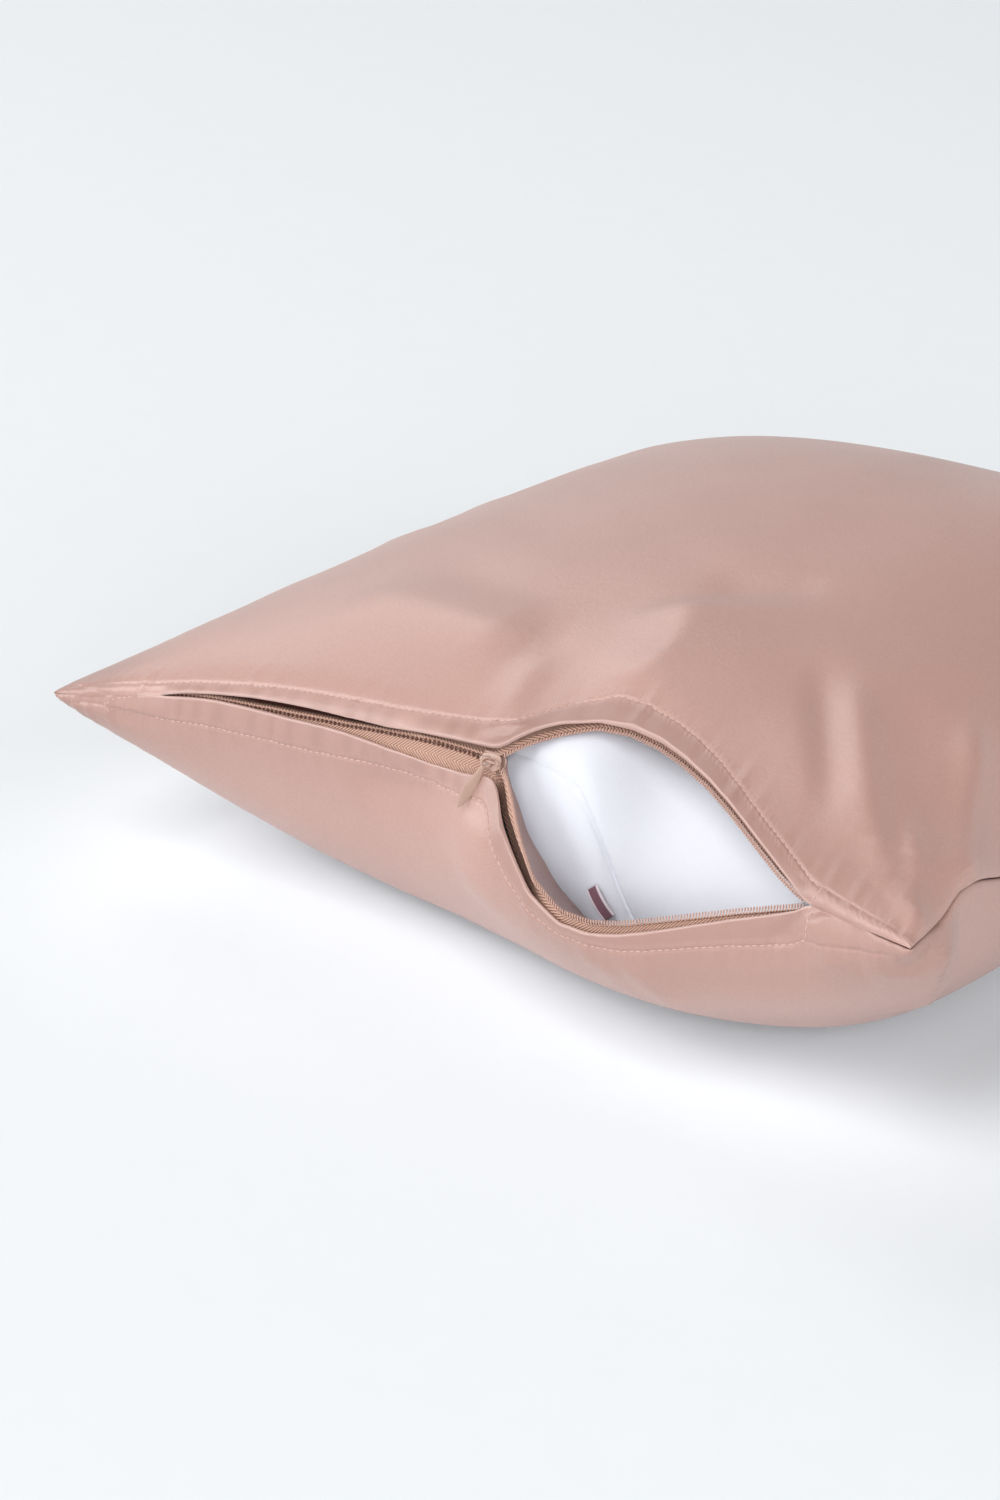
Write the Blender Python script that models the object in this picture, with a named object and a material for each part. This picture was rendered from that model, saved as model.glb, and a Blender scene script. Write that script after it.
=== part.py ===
"""Square zipped pillowcase, filled and lying flat, its zip half open on the white pillow inside.

Metres, +Z up. The zip end lies along X and faces -Y, and the origin is at the middle of the
footprint, on the surface that the case rests on.

Places on the cloth are given by two numbers from -1 to 1: `across`, from the left corner of the
zip end to the right one, and `along`, from the zip end to the far end. Both are turned into cloth
positions by a sine, which packs lines of the grid closer together where the cloth turns down to
a seam. Distances up and down the front of the case are lengths along the cloth from the seam
line: above it positive, on the top panel, and below it negative, on the bottom panel.
"""

import math

import bpy
import numpy as np

# Filled case
SPAN = 0.430  # corner to corner; the flat case is 0.45 square
CLOTH = 0.0012  # thickness of a panel
SEAM_GAP = 0.0004  # between the two panels' edges
CROWN = 0.1478  # inside of the top panel at its highest
CROWN_SHIFT = (-0.217, -0.048)  # how far the crown stands from the middle, across and along
DRAW_SIDES = 0.087  # share of the half width that the sides are drawn in by
DRAW_ENDS = 0.064  # the same for the zip end and the far end
DRAW_POWER = 2.2
SET_BACK = 0.0047  # the seams' square stands this far back, to centre the footprint with its belly
ROUNDNESS = 2.35  # power of the pillow's outline in section, 2 for a plain ellipse
TOP_POWER = 0.57  # how steeply the top rises from its seam
LOW_POWER = 0.535  # how steeply the underside falls from it
LOW_GAIN = 1.575  # how soon the underside reaches the surface
LOW_BLEND = 0.25
BELLY = 0.005  # how far the underside swells past the seam all round
FRONT_BELLY = 0.025  # and how far more it swells below the open zip
FRONT_BELLY_AT = 0.35
FRONT_BELLY_WIDTH = 0.35
FRONT_BELLY_DEPTH = 0.5

# Height of the seam
SEAM_LEFT = 0.076  # left corner of the zip end
SEAM_RIGHT = 0.101  # right corner of the zip end
SEAM_ZIP = 0.108  # middle of the zip end
SEAM_ZIP_POWER = 1.42
SEAM_FAR_LEFT = 0.047  # left corner of the far end
SEAM_FAR_RIGHT = 0.066  # right corner of the far end
SEAM_FAR_MIDDLE = 0.069  # middle of the far end
SIDE_FROM = 0.82  # across, where the right side's sag and hitch begin
SIDE_SAG = 0.0085  # how far the right side seam sags behind its zip end
SIDE_SAG_SPAN = (-1.0, -0.5, -0.2, 0.6)  # along: where it starts, is full, starts to fade and ends
SIDE_HITCH = 0.0068  # how far the seam is hitched up again in a short tuck near the zip end
SIDE_HITCH_SPAN = (-0.90, -0.78, -0.76, -0.56)

# Zip, as lengths along the cloth
SLIDER_ACROSS = 0.068
CHAIN_HALF = 0.0013
TAPE_WIDTH = 0.0115
TAPE_DEPTH = (0.0011, 0.0020)  # outer and inner face, in from the inside of the panels
COIL_DEPTH = (0.0005, 0.0022)
COIL_HALF = 0.0009
PIECE_GAP = 0.0004
COIL_ENDS = (-0.735, 0.752)  # left end of the closed chain and right end of the open coils, across
TAPE_ENDS = (-0.745, 0.785)
TAPE_COLUMNS = 4
STATION_ROOM = 0.012  # least room, across, between the end of a strip and the station beside it

# Across, then lengths in mm: top panel's edge, open upper coil, open lower coil, bottom panel's edge
ZIP_EDGE = (
    # across  top   upper   lower    low
    (-1.000, 0.0, 0.9, -0.9, 0.0),
    (-0.740, 0.0, 0.9, -0.9, 0.0),
    (-0.700, 0.4, 0.9, -0.9, 0.0),
    (-0.660, 0.9, 0.9, -0.9, -0.1),
    (-0.600, 1.0, 0.9, -0.9, -0.6),
    (-0.500, 1.0, 0.9, -0.9, -2.8),
    (-0.400, 0.6, 0.9, -0.9, -4.9),
    (-0.280, 0.3, 0.9, -0.9, -5.9),
    (-0.170, 0.4, 0.9, -0.9, -7.7),
    (-0.060, 2.3, 0.9, -0.9, -8.6),
    (0.020, 3.9, 0.9, -0.9, -7.4),
    (0.061, 4.8, 0.9, -0.9, -6.0),
    (0.075, 5.3, 1.8, -1.0, -5.4),
    (0.090, 7.8, 4.6, -1.6, -6.2),
    (0.105, 12.3, 8.6, -3.4, -9.6),
    (0.133, 19.2, 15.4, -11.1, -20.0),
    (0.165, 25.0, 21.8, -20.4, -27.4),
    (0.230, 32.2, 30.6, -37.0, -41.8),
    (0.300, 34.9, 33.7, -44.6, -48.4),
    (0.370, 34.4, 33.0, -43.2, -46.8),
    (0.430, 31.8, 30.4, -38.1, -41.6),
    (0.500, 27.2, 25.9, -30.3, -33.6),
    (0.570, 21.0, 19.6, -22.3, -25.0),
    (0.640, 13.8, 12.3, -14.6, -16.7),
    (0.710, 6.8, 5.2, -7.6, -9.2),
    (0.760, 1.9, 1.3, -2.9, -3.9),
    (0.780, 0.1, 0.9, -0.9, -0.4),
    (0.800, 0.0, 0.9, -0.9, 0.0),
    (1.000, 0.0, 0.9, -0.9, 0.0),
)

# Grids: how the cloth is cut up across, and rows from the zip edge back
STATIONS = ((-1.0, -0.516, 6), (-0.516, 0.039, 9), (0.039, 0.110, 4), (0.110, 0.571, 12), (0.571, 1.0, 6))
HEM_ROWS = (0.0, 0.006, 0.012, 0.020)
PANEL_ROWS = 17
FINE = 320
NORMAL_STEP = 0.0005

# Pillow inside
PILLOW_SIDE_INSET = 0.012
PILLOW_FRONT_INSET = 0.013
PILLOW_BACK_INSET = 0.012
PILLOW_CROWN_INSET = 0.004
PILLOW_FLOOR_INSET = 0.004
PILLOW_EDGE = 0.0016
PILLOW_TOP_POWER = 0.50
PILLOW_LOW_POWER = 0.62
PILLOW_DIP = 0.060  # how far its seam hangs below the case's seam in the opening
PILLOW_DIP_AT = 0.52
PILLOW_DIP_WIDTH = 0.226
PILLOW_DIP_POWER = 4
PILLOW_DIP_REACH = 3  # power of its fading towards the far end
PILLOW_GRID = (26, 20)

# Slider and puller
SLIDER_LENGTH = 0.0098
SLIDER_FRONT_HALF = 0.0038
SLIDER_BACK_HALF = 0.0029
SLIDER_WEB_HALF = 0.0006
SLIDER_PLATE = 0.0009
SLIDER_SPAN = (0.0009, -0.0034)  # outer and inner plate faces, out from the inside of the panels
BRIDGE_LENGTH = 0.0068
BRIDGE_RISE = 0.0034
BRIDGE_BAR = 0.0008
BRIDGE_SECTIONS = 9
# Along the slider as a share of its length, and half its width there
SLIDER_SECTIONS = (
    (-0.5, SLIDER_BACK_HALF),
    (-0.2, 1.08 * SLIDER_BACK_HALF),
    (0.25, SLIDER_FRONT_HALF),
    (0.5, 0.86 * SLIDER_FRONT_HALF),
)
PULLER_DIRECTION = (-0.32, -0.44, -0.86)
PULLER_TURN = 55  # degrees that its face is turned from straight outwards towards the open zip
PULLER_THICK = 0.0009
PULLER_HOLE = (0.0018, 0.0016)  # half length and half width of its eye
PULLER_HOLE_SIDES = 12
# Distance down the puller from the middle of its eye, and half width there, mm
PULLER_OUTLINE = ((-2.6, 0.0), (-2.3, 1.2), (-1.3, 2.15), (0.0, 2.45), (1.3, 2.2), (3.0, 1.35), (6.6, 1.30),
                  (11.0, 1.75), (15.0, 2.15), (18.4, 1.95), (20.6, 1.25), (21.4, 0.0))

# Plain loop sewn in the pillow's front seam
LOOP_SIZE = (0.0065, 0.0010, 0.0135)  # width, thickness and length
LOOP_AT = (0.0605, 0.058)  # x and z of its middle
LOOP_LEAN = 40  # degrees that it leans to the right as it hangs
LOOP_STAND_OFF = 0.0012

COLOURS = {
    "sateen": ((0.66, 0.44, 0.38), 0.38, 0.0),
    "zip_tape": ((0.42, 0.27, 0.22), 0.75, 0.0),
    "zip_coil": ((0.45, 0.30, 0.26), 0.40, 0.0),
    "painted_metal": ((0.50, 0.35, 0.29), 0.32, 0.3),
    "white_cotton": ((0.86, 0.87, 0.90), 0.80, 0.0),
    "loop_tape": ((0.20, 0.13, 0.16), 0.70, 0.0),
}


def material(name):
    """The named finish, made once."""
    known = bpy.data.materials.get(name)
    if known:
        return known
    colour, roughness, metallic = COLOURS[name]
    made = bpy.data.materials.new(name)
    made.use_nodes = True
    shader = made.node_tree.nodes["Principled BSDF"]
    shader.inputs["Base Color"].default_value = (*colour, 1.0)
    shader.inputs["Roughness"].default_value = roughness
    shader.inputs["Metallic"].default_value = metallic
    return made


def add_object(name, points, faces, finish):
    """A mesh object at the origin, with its faces made to point outwards."""
    mesh = bpy.data.meshes.new(name)
    mesh.from_pydata([tuple(map(float, p)) for p in points], [], faces)
    mesh.materials.append(material(finish))
    made = bpy.data.objects.new(name, mesh)
    bpy.context.scene.collection.objects.link(made)
    mesh.update()
    mesh.shade_smooth()
    mesh.set_sharp_from_angle(angle=math.radians(40))
    return made


def unit(vectors):
    return vectors / (np.linalg.norm(vectors, axis=-1, keepdims=True) + 1e-12)


def smooth_min(a, b, width):
    """The smaller of two values, rounded where they cross."""
    mix = np.clip(0.5 + 0.5 * (b - a) / width, 0.0, 1.0)
    return b * (1 - mix) + a * mix - width * mix * (1 - mix)


def ease(value, start, end):
    """0 up to `start` and 1 from `end` on, with a smooth rise between; `start` may be the larger."""
    share = np.clip((value - start) / (end - start), 0, 1)
    return share * share * (3 - 2 * share)


def plateau(value, span):
    """A smooth rise between the first two values of `span` and a smooth fall between the last two."""
    return ease(value, span[0], span[1]) * ease(value, span[3], span[2])


def seam_height(across, along):
    """Height of the seam, eased from the zip end's line to the far end's."""
    corners = SEAM_LEFT + (SEAM_RIGHT - SEAM_LEFT) * (1 + across) / 2
    zip_end = corners + (SEAM_ZIP - corners) * np.clip(1 - across**2, 0, 1) ** SEAM_ZIP_POWER
    far_corners = SEAM_FAR_LEFT + (SEAM_FAR_RIGHT - SEAM_FAR_LEFT) * (1 + across) / 2
    far_end = far_corners + (SEAM_FAR_MIDDLE - far_corners) * (1 - np.abs(across) ** 3)
    back = ease(along, -1, 1)
    side = SIDE_HITCH * plateau(along, SIDE_HITCH_SPAN) - SIDE_SAG * plateau(along, SIDE_SAG_SPAN)
    return zip_end * (1 - back) + far_end * back + side * ease(across, SIDE_FROM, 1)


def outline(across, along):
    """Plan of the filled case, with sides drawn in between its corners."""
    half = SPAN / 2
    x = half * across * (1 - DRAW_SIDES * (1 - np.abs(along) ** DRAW_POWER))
    y = half * along * (1 - DRAW_ENDS * (1 - np.abs(across) ** DRAW_POWER))
    return x, y + SET_BACK


def swell(across, along, power):
    """0 on the seam and 1 over the middle: a rounded rise from each side, multiplied together."""
    rise = np.clip(1 - np.abs(across) ** ROUNDNESS, 0, 1) * np.clip(1 - np.abs(along) ** ROUNDNESS, 0, 1)
    return rise**power


def top_inside(across, along):
    """Inside of the top panel: the seam's height plus a swell up to the crown."""
    x, y = outline(across, along)
    seam = seam_height(across, along)
    shifted = (across + CROWN_SHIFT[0] * (1 - across**2), along + CROWN_SHIFT[1] * (1 - along**2))
    z = seam + SEAM_GAP / 2 + (CROWN - seam) * swell(*shifted, TOP_POWER)
    return np.stack([x, y, z], -1)


def bottom_inside(across, along):
    """Inside of the bottom panel: down from the seam, out over its belly, and flat on the surface."""
    x, y = outline(across, along)
    drop = smooth_min(LOW_GAIN * swell(across, along, LOW_POWER), 1.0, LOW_BLEND)
    belly = 4 * drop * (1 - drop)
    aside = (across - FRONT_BELLY_AT) / FRONT_BELLY_WIDTH
    front = np.exp(-(aside**2) - ((along + 1) / FRONT_BELLY_DEPTH) ** 2)
    x = x + BELLY * belly * across
    y = y + BELLY * belly * along - FRONT_BELLY * belly * front
    z = (seam_height(across, along) - SEAM_GAP / 2) * (1 - drop) + CLOTH * drop
    return np.stack([x, y, z], -1)


def stations(spans=STATIONS):
    """Where the cloth's lines stand, across, from the spans' ends and numbers of cells."""
    parts = [np.linspace(start, end, cells, endpoint=False) for start, end, cells in spans]
    return np.sin(math.pi / 2 * np.append(np.concatenate(parts), spans[-1][1]))


def zip_edge(column, across):
    """One column of ZIP_EDGE in metres, read at each place across."""
    table = np.array(ZIP_EDGE)
    return np.interp(across, table[:, 0], table[:, column]) / 1000


def walk(lines, lengths):
    """Points at the given lengths along each line: lines (m, n, 3), lengths (m, k)."""
    steps = np.linalg.norm(np.diff(lines, axis=1), axis=-1)
    total = np.concatenate([np.zeros((len(lines), 1)), np.cumsum(steps, axis=1)], axis=1)
    found = [
        np.stack([np.interp(want, reach, line[:, axis]) for axis in range(3)], -1)
        for line, reach, want in zip(lines, total, lengths)
    ]
    return np.array(found)


def lines_back(surface, across):
    """The surface's lines from the zip end to the far end, one for each place across."""
    along = np.sin(math.pi / 2 * np.linspace(-1, 1, FINE))
    return surface(*np.meshgrid(across, along, indexing="ij"))


def panel_rows(surface, across, start):
    """Grid of a panel: rows at the hem's distances from its zip edge, then evenly to the far end."""
    lines = lines_back(surface, across)
    total = np.linalg.norm(np.diff(lines, axis=1), axis=-1).sum(axis=1)
    room = (total - start)[:, None]
    share = np.minimum(1.0, room / HEM_ROWS[-1] / 2)
    hem = np.array(HEM_ROWS)[None] * share
    rest = np.linspace(0, 1, PANEL_ROWS + 1)[1:]
    lengths = np.concatenate([hem, hem[:, -1:] + (room - hem[:, -1:]) * rest[None]], axis=1)
    return walk(lines, start[:, None] + lengths)


def grid_normals(grid, outward):
    """Unit normals of a grid of points, on the side that `outward` says, 1 or -1."""
    return outward * unit(np.cross(np.gradient(grid, axis=0), np.gradient(grid, axis=1)))


def sheet_faces(rows, columns):
    """Faces of a closed sheet whose outer grid of points comes first and inner grid second."""
    number = np.arange(rows * columns).reshape(rows, columns)
    inner = number + rows * columns
    faces = []
    for i in range(rows - 1):
        for j in range(columns - 1):
            faces.append((number[i, j], number[i + 1, j], number[i + 1, j + 1], number[i, j + 1]))
            faces.append((inner[i, j], inner[i, j + 1], inner[i + 1, j + 1], inner[i + 1, j]))
    rim = [(i, 0) for i in range(rows)] + [(rows - 1, j) for j in range(1, columns)]
    rim += [(i, columns - 1) for i in range(rows - 2, -1, -1)] + [(0, j) for j in range(columns - 2, 0, -1)]
    for (a, b), (c, d) in zip(rim, rim[1:] + rim[:1]):
        faces.append((number[c, d], number[a, b], inner[a, b], inner[c, d]))
    return [tuple(int(k) for k in face) for face in faces]


def add_sheet(name, outer, inner, finish, flip=False):
    """A closed solid between two grids of points of the same size."""
    rows, columns = outer.shape[:2]
    faces = sheet_faces(rows, columns)
    if flip:
        faces = [face[::-1] for face in faces]
    points = np.concatenate([outer.reshape(-1, 3), inner.reshape(-1, 3)])
    return add_object(name, points, faces, finish)


def make_panels():
    """Top and bottom panels, each from its zip edge to the far seam."""
    across = stations()
    top = panel_rows(top_inside, across, zip_edge(1, across))
    add_sheet("case_top_panel", top + CLOTH * grid_normals(top, 1), top, "sateen")
    low = panel_rows(bottom_inside, across, -zip_edge(4, across))
    outside = low + CLOTH * grid_normals(low, -1)
    add_sheet("case_bottom_panel", outside, low, "sateen", flip=True)


def front_points(across, lengths):
    """Points on the front of the closed case, at signed lengths from its seam."""
    upper = walk(lines_back(top_inside, across), np.maximum(lengths, 0))
    lower = walk(lines_back(bottom_inside, across), np.maximum(-lengths, 0))
    return np.where(lengths[..., None] >= 0, upper, lower)


def front_grid(across, lengths):
    """The same points with their outward normals."""
    points = front_points(across, lengths)
    up = front_points(across, lengths + NORMAL_STEP) - front_points(across, lengths - NORMAL_STEP)
    return points, unit(np.cross(np.gradient(points, axis=0), up))


def add_strip(name, across, low_edge, high_edge, columns, depth, finish):
    """A strip behind the front of the case, between two signed lengths and two depths."""
    lengths = low_edge[:, None] + (high_edge - low_edge)[:, None] * np.linspace(0, 1, columns)
    points, normals = front_grid(across, lengths)
    return add_sheet(name, points - depth[0] * normals, points - depth[1] * normals, finish)


def make_zip():
    """Both tapes, the closed chain left of the slider, and the two open coils right of it."""
    tape = stations_between(*TAPE_ENDS)
    upper = zip_edge(2, tape) + COIL_HALF + PIECE_GAP
    lower = zip_edge(3, tape) - COIL_HALF - PIECE_GAP
    add_strip("zip_tape_upper", tape, upper, upper + TAPE_WIDTH, TAPE_COLUMNS, TAPE_DEPTH, "zip_tape")
    add_strip("zip_tape_lower", tape, lower - TAPE_WIDTH, lower, TAPE_COLUMNS, TAPE_DEPTH, "zip_tape")

    reach = (SLIDER_LENGTH / 2 + 2 * PIECE_GAP) / (SPAN / 2)
    closed = stations_between(COIL_ENDS[0], SLIDER_ACROSS - reach)
    half = np.full(len(closed), CHAIN_HALF)
    add_strip("zip_chain_closed", closed, -half, half, 2, COIL_DEPTH, "zip_coil")
    opened = stations_between(SLIDER_ACROSS + reach, COIL_ENDS[1])
    upper, lower = zip_edge(2, opened), zip_edge(3, opened)
    add_strip("zip_coil_upper", opened, upper - COIL_HALF, upper + COIL_HALF, 2, COIL_DEPTH, "zip_coil")
    add_strip("zip_coil_lower", opened, lower - COIL_HALF, lower + COIL_HALF, 2, COIL_DEPTH, "zip_coil")


def stations_between(start, end):
    """The panels' stations that lie well between two places across, and those two places."""
    every = stations()
    between = every[(every > start + STATION_ROOM) & (every < end - STATION_ROOM)]
    return np.concatenate([[start], between, [end]])


def slider_frame():
    """Middle of the slider on the seam line, with its directions along the zip, up and outwards."""
    near = SLIDER_ACROSS + np.array([-0.01, 0.0, 0.01])
    reach = np.array([[-SLIDER_FRONT_HALF, 0.0, SLIDER_FRONT_HALF]] * 3)
    points = front_points(near, reach)
    ahead = unit(points[2, 1] - points[0, 1])
    outwards = unit(np.cross(ahead, points[1, 2] - points[1, 0]))
    return points[1, 1], ahead, np.cross(outwards, ahead), outwards


def place(local, frame):
    """Points given along, up and outwards in the slider's frame, in the case's own."""
    middle, ahead, up, outwards = frame
    local = np.asarray(local, float)
    return middle + local[..., :1] * ahead + local[..., 1:2] * up + local[..., 2:] * outwards


def make_slider():
    """Two plates joined by a web between the coils, wider at the mouth, with a bridge on top."""
    outer, inner = SLIDER_SPAN
    shape = []
    for at, half in SLIDER_SECTIONS:
        x, web = at * SLIDER_LENGTH, SLIDER_WEB_HALF
        top, low = outer - SLIDER_PLATE, inner + SLIDER_PLATE
        section = [(-half, outer), (half, outer), (half, top), (web, top), (web, low), (half, low),
                   (half, inner), (-half, inner), (-half, low), (-web, low), (-web, top), (-half, top)]
        shape.append([(x, y, z) for y, z in section])
    frame = slider_frame()
    body = add_tube("zip_slider", place(np.array(shape), frame), "painted_metal")
    bridge = add_tube("slider_bridge", place(bridge_sections(outer), frame), "painted_metal")
    use_boolean(body, bridge, "UNION")


def bridge_sections(base):
    """Square bar bent over in half an ellipse, its feet sunk in the outer plate."""
    half = BRIDGE_BAR / 2
    sections = []
    for turn in np.linspace(0, math.pi, BRIDGE_SECTIONS):
        side, rise = -math.cos(turn), math.sin(turn)
        middle = (side * BRIDGE_LENGTH / 2, 0.0, base - half + rise * BRIDGE_RISE)
        lean = math.hypot(side / BRIDGE_LENGTH * 2, rise / BRIDGE_RISE)
        out = (side / BRIDGE_LENGTH * 2 / lean, rise / BRIDGE_RISE / lean)
        corners = ((-half, -half), (half, -half), (half, half), (-half, half))
        sections.append([(middle[0] + out[0] * b, a, middle[2] + out[1] * b) for a, b in corners])
    return np.array(sections)


def add_tube(name, sections, finish):
    """A closed solid through a row of sections, capped at both ends: sections (m, n, 3)."""
    count, around = sections.shape[:2]
    faces = [tuple(range(around)), tuple(range(count * around - 1, (count - 1) * around - 1, -1))]
    for i in range(count - 1):
        for j in range(around):
            k = (j + 1) % around
            faces.append((i * around + j, (i + 1) * around + j, (i + 1) * around + k, i * around + k))
    return add_object(name, sections.reshape(-1, 3), faces, finish)


def use_boolean(target, tool, operation):
    """Joins the tool to the target, or cuts it out, and keeps the tool itself out of the model."""
    tool.hide_render = True
    tool.display_type = "WIRE"
    boolean = target.modifiers.new(tool.name, "BOOLEAN")
    boolean.operation = operation
    boolean.object = tool


def make_puller():
    """Teardrop plate hanging from the slider's bridge, which passes through its eye."""
    frame = slider_frame()
    down = unit(np.array(PULLER_DIRECTION))
    turn = math.radians(PULLER_TURN)
    face = frame[3] * math.cos(turn) + frame[1] * math.sin(turn)
    face = unit(face - down * (face @ down))
    wide = np.cross(down, face)
    bar = place([0.0, 0.0, SLIDER_SPAN[0] - BRIDGE_BAR / 2 + BRIDGE_RISE], frame)
    eye = bar + down * (PULLER_HOLE[0] - BRIDGE_BAR - PIECE_GAP)
    side = [(y / 1000, x / 1000) for x, y in PULLER_OUTLINE]
    rim = np.array(side + [(-y, x) for y, x in side[-2:0:-1]])
    turns = np.linspace(0, 2 * math.pi, PULLER_HOLE_SIDES, endpoint=False)
    hole = np.stack([PULLER_HOLE[1] * np.sin(turns), -PULLER_HOLE[0] * np.cos(turns)], -1)

    def slab(outline_points, thick):
        middle = eye + outline_points[:, :1] * wide + outline_points[:, 1:] * down
        return np.array([middle + face * thick / 2, middle - face * thick / 2])

    plate = add_tube("zip_puller", slab(rim, PULLER_THICK), "painted_metal")
    cutter = add_tube("puller_eye", slab(hole, 3 * PULLER_THICK), "painted_metal")
    use_boolean(plate, cutter, "DIFFERENCE")


def pillow_seam(across, along):
    """Height of the inner pillow's seam, which hangs lower where the case is open."""
    front = np.clip((1 - along) / 2, 0, 1) ** PILLOW_DIP_REACH
    dip = np.exp(-(np.abs((across - PILLOW_DIP_AT) / PILLOW_DIP_WIDTH) ** PILLOW_DIP_POWER))
    return seam_height(across, along) - PILLOW_DIP * dip * front


def pillow_side(across, along, upper):
    """Upper or lower side of the filled pillow inside the case."""
    x, y = outline(across, along)
    x = x * (1 - PILLOW_SIDE_INSET / (SPAN / 2))
    y = y - PILLOW_BACK_INSET * (1 + along) / 2 + PILLOW_FRONT_INSET * (1 - along) / 2
    seam = pillow_seam(across, along)
    if upper:
        shifted = (across + CROWN_SHIFT[0] * (1 - across**2), along + CROWN_SHIFT[1] * (1 - along**2))
        rise = swell(*shifted, PILLOW_TOP_POWER)
        z = seam + PILLOW_EDGE / 2 + (CROWN - PILLOW_CROWN_INSET - seam) * rise
    else:
        drop = smooth_min(LOW_GAIN * swell(across, along, PILLOW_LOW_POWER), 1.0, LOW_BLEND)
        z = (seam - PILLOW_EDGE / 2) * (1 - drop) + (CLOTH + PILLOW_FLOOR_INSET) * drop
    return np.stack([x, y, z], -1)


def make_pillow():
    """The filled pillow as one solid, and the plain loop on its front."""
    across, along = (np.sin(math.pi / 2 * np.linspace(-1, 1, cells + 1)) for cells in PILLOW_GRID)
    grid = np.meshgrid(across, along, indexing="ij")
    add_sheet("inner_pillow", pillow_side(*grid, True), pillow_side(*grid, False), "white_cotton")


def make_loop():
    """Plain flat loop that lies against the pillow's front, leaning to the right as it hangs."""
    wide, thick, long = LOOP_SIZE
    front = pillow_side(np.array([2 * LOOP_AT[0] / SPAN]), np.array([-1.0]), True)[0, 1]
    lean = math.radians(LOOP_LEAN)
    down = np.array([math.sin(lean), 0.0, -math.cos(lean)])
    beside = np.array([math.cos(lean), 0.0, math.sin(lean)])
    corners = np.array([[(i, j, k) for k in (-0.5, 0.5)] for i in (-0.5, 0.5) for j in (0, 1)])
    i, j, k = np.moveaxis(corners.reshape(2, 2, 2, 3), -1, 0)[..., None]
    middle = np.array([LOOP_AT[0], front - LOOP_STAND_OFF, LOOP_AT[1]])
    box = middle + i * wide * beside + j * thick * np.array([0.0, -1.0, 0.0]) - k * long * down
    add_sheet("pillow_seam_loop", box[:, 1], box[:, 0], "loop_tape")


def main():
    for old in list(bpy.data.objects):
        bpy.data.objects.remove(old, do_unlink=True)
    make_panels()
    make_zip()
    make_slider()
    make_puller()
    make_pillow()
    make_loop()


main()
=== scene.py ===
"""The looks of a square satin pillowcase: two sateen panels with turned hems and topstitching, a
half-open coil zip with its tapes, slider and puller, and the white pillow that shows in its mouth.

Metres, +Z up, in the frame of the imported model. A place on the cloth is given by `across`, from -1
at the left corner of the zip end to 1 at its right corner, and by a length along the cloth from the
seam line: up the top panel, or down the bottom one. A surface is a grid of points computed as whole
arrays. Its first axis runs across, and its second from the zip end to the far end.
"""

import math

import bpy
import numpy as np
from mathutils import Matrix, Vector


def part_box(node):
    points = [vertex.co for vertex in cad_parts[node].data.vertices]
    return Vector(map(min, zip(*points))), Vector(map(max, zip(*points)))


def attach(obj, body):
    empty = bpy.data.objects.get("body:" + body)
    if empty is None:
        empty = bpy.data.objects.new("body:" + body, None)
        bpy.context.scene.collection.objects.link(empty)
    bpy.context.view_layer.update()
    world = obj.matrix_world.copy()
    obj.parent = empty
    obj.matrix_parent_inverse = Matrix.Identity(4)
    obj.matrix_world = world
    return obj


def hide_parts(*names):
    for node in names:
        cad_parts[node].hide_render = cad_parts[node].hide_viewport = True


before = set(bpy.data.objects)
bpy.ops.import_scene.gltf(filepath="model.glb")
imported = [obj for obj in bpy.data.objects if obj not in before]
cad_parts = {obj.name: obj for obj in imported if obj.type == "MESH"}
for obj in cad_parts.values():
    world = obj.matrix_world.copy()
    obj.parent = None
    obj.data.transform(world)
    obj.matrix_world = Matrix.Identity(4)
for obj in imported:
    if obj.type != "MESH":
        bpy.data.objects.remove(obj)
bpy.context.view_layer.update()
TOP_LOW, TOP_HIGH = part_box("case_top_panel")

# ---------------------------------------------------------------------------------------------
# The filled case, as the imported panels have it
# ---------------------------------------------------------------------------------------------

CLOTH = 0.0012  # from the inside of a panel to its face, hem and all
SEAM_GAP = 0.0004
HALF = round(TOP_HIGH.x - TOP_LOW.x, 3) / 2
SET_BACK = (TOP_LOW.y + TOP_HIGH.y) / 2
CROWN = TOP_HIGH.z - CLOTH - SEAM_GAP / 2
CROWN_SHIFT = (-0.217, -0.048)
DRAW_SIDES, DRAW_ENDS, DRAW_POWER = 0.087, 0.064, 2.2
ROUNDNESS, TOP_POWER, LOW_POWER = 2.35, 0.57, 0.535
LOW_GAIN, LOW_BLEND = 1.575, 0.25
BELLY, FRONT_BELLY, FRONT_BELLY_AT = 0.005, 0.025, 0.35
SEAM_LEFT, SEAM_RIGHT, SEAM_ZIP, SEAM_ZIP_POWER = 0.076, 0.101, 0.108, 1.42
SEAM_FAR_LEFT, SEAM_FAR_RIGHT, SEAM_FAR_MIDDLE = 0.047, 0.066, 0.069
SIDE_FROM = 0.82  # across, where the right side's sag and hitch begin
SIDE_SAG, SIDE_SAG_SPAN = 0.0085, (-1.0, -0.5, -0.2, 0.6)
SIDE_HITCH, SIDE_HITCH_SPAN = 0.0068, (-0.90, -0.78, -0.76, -0.56)

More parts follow.
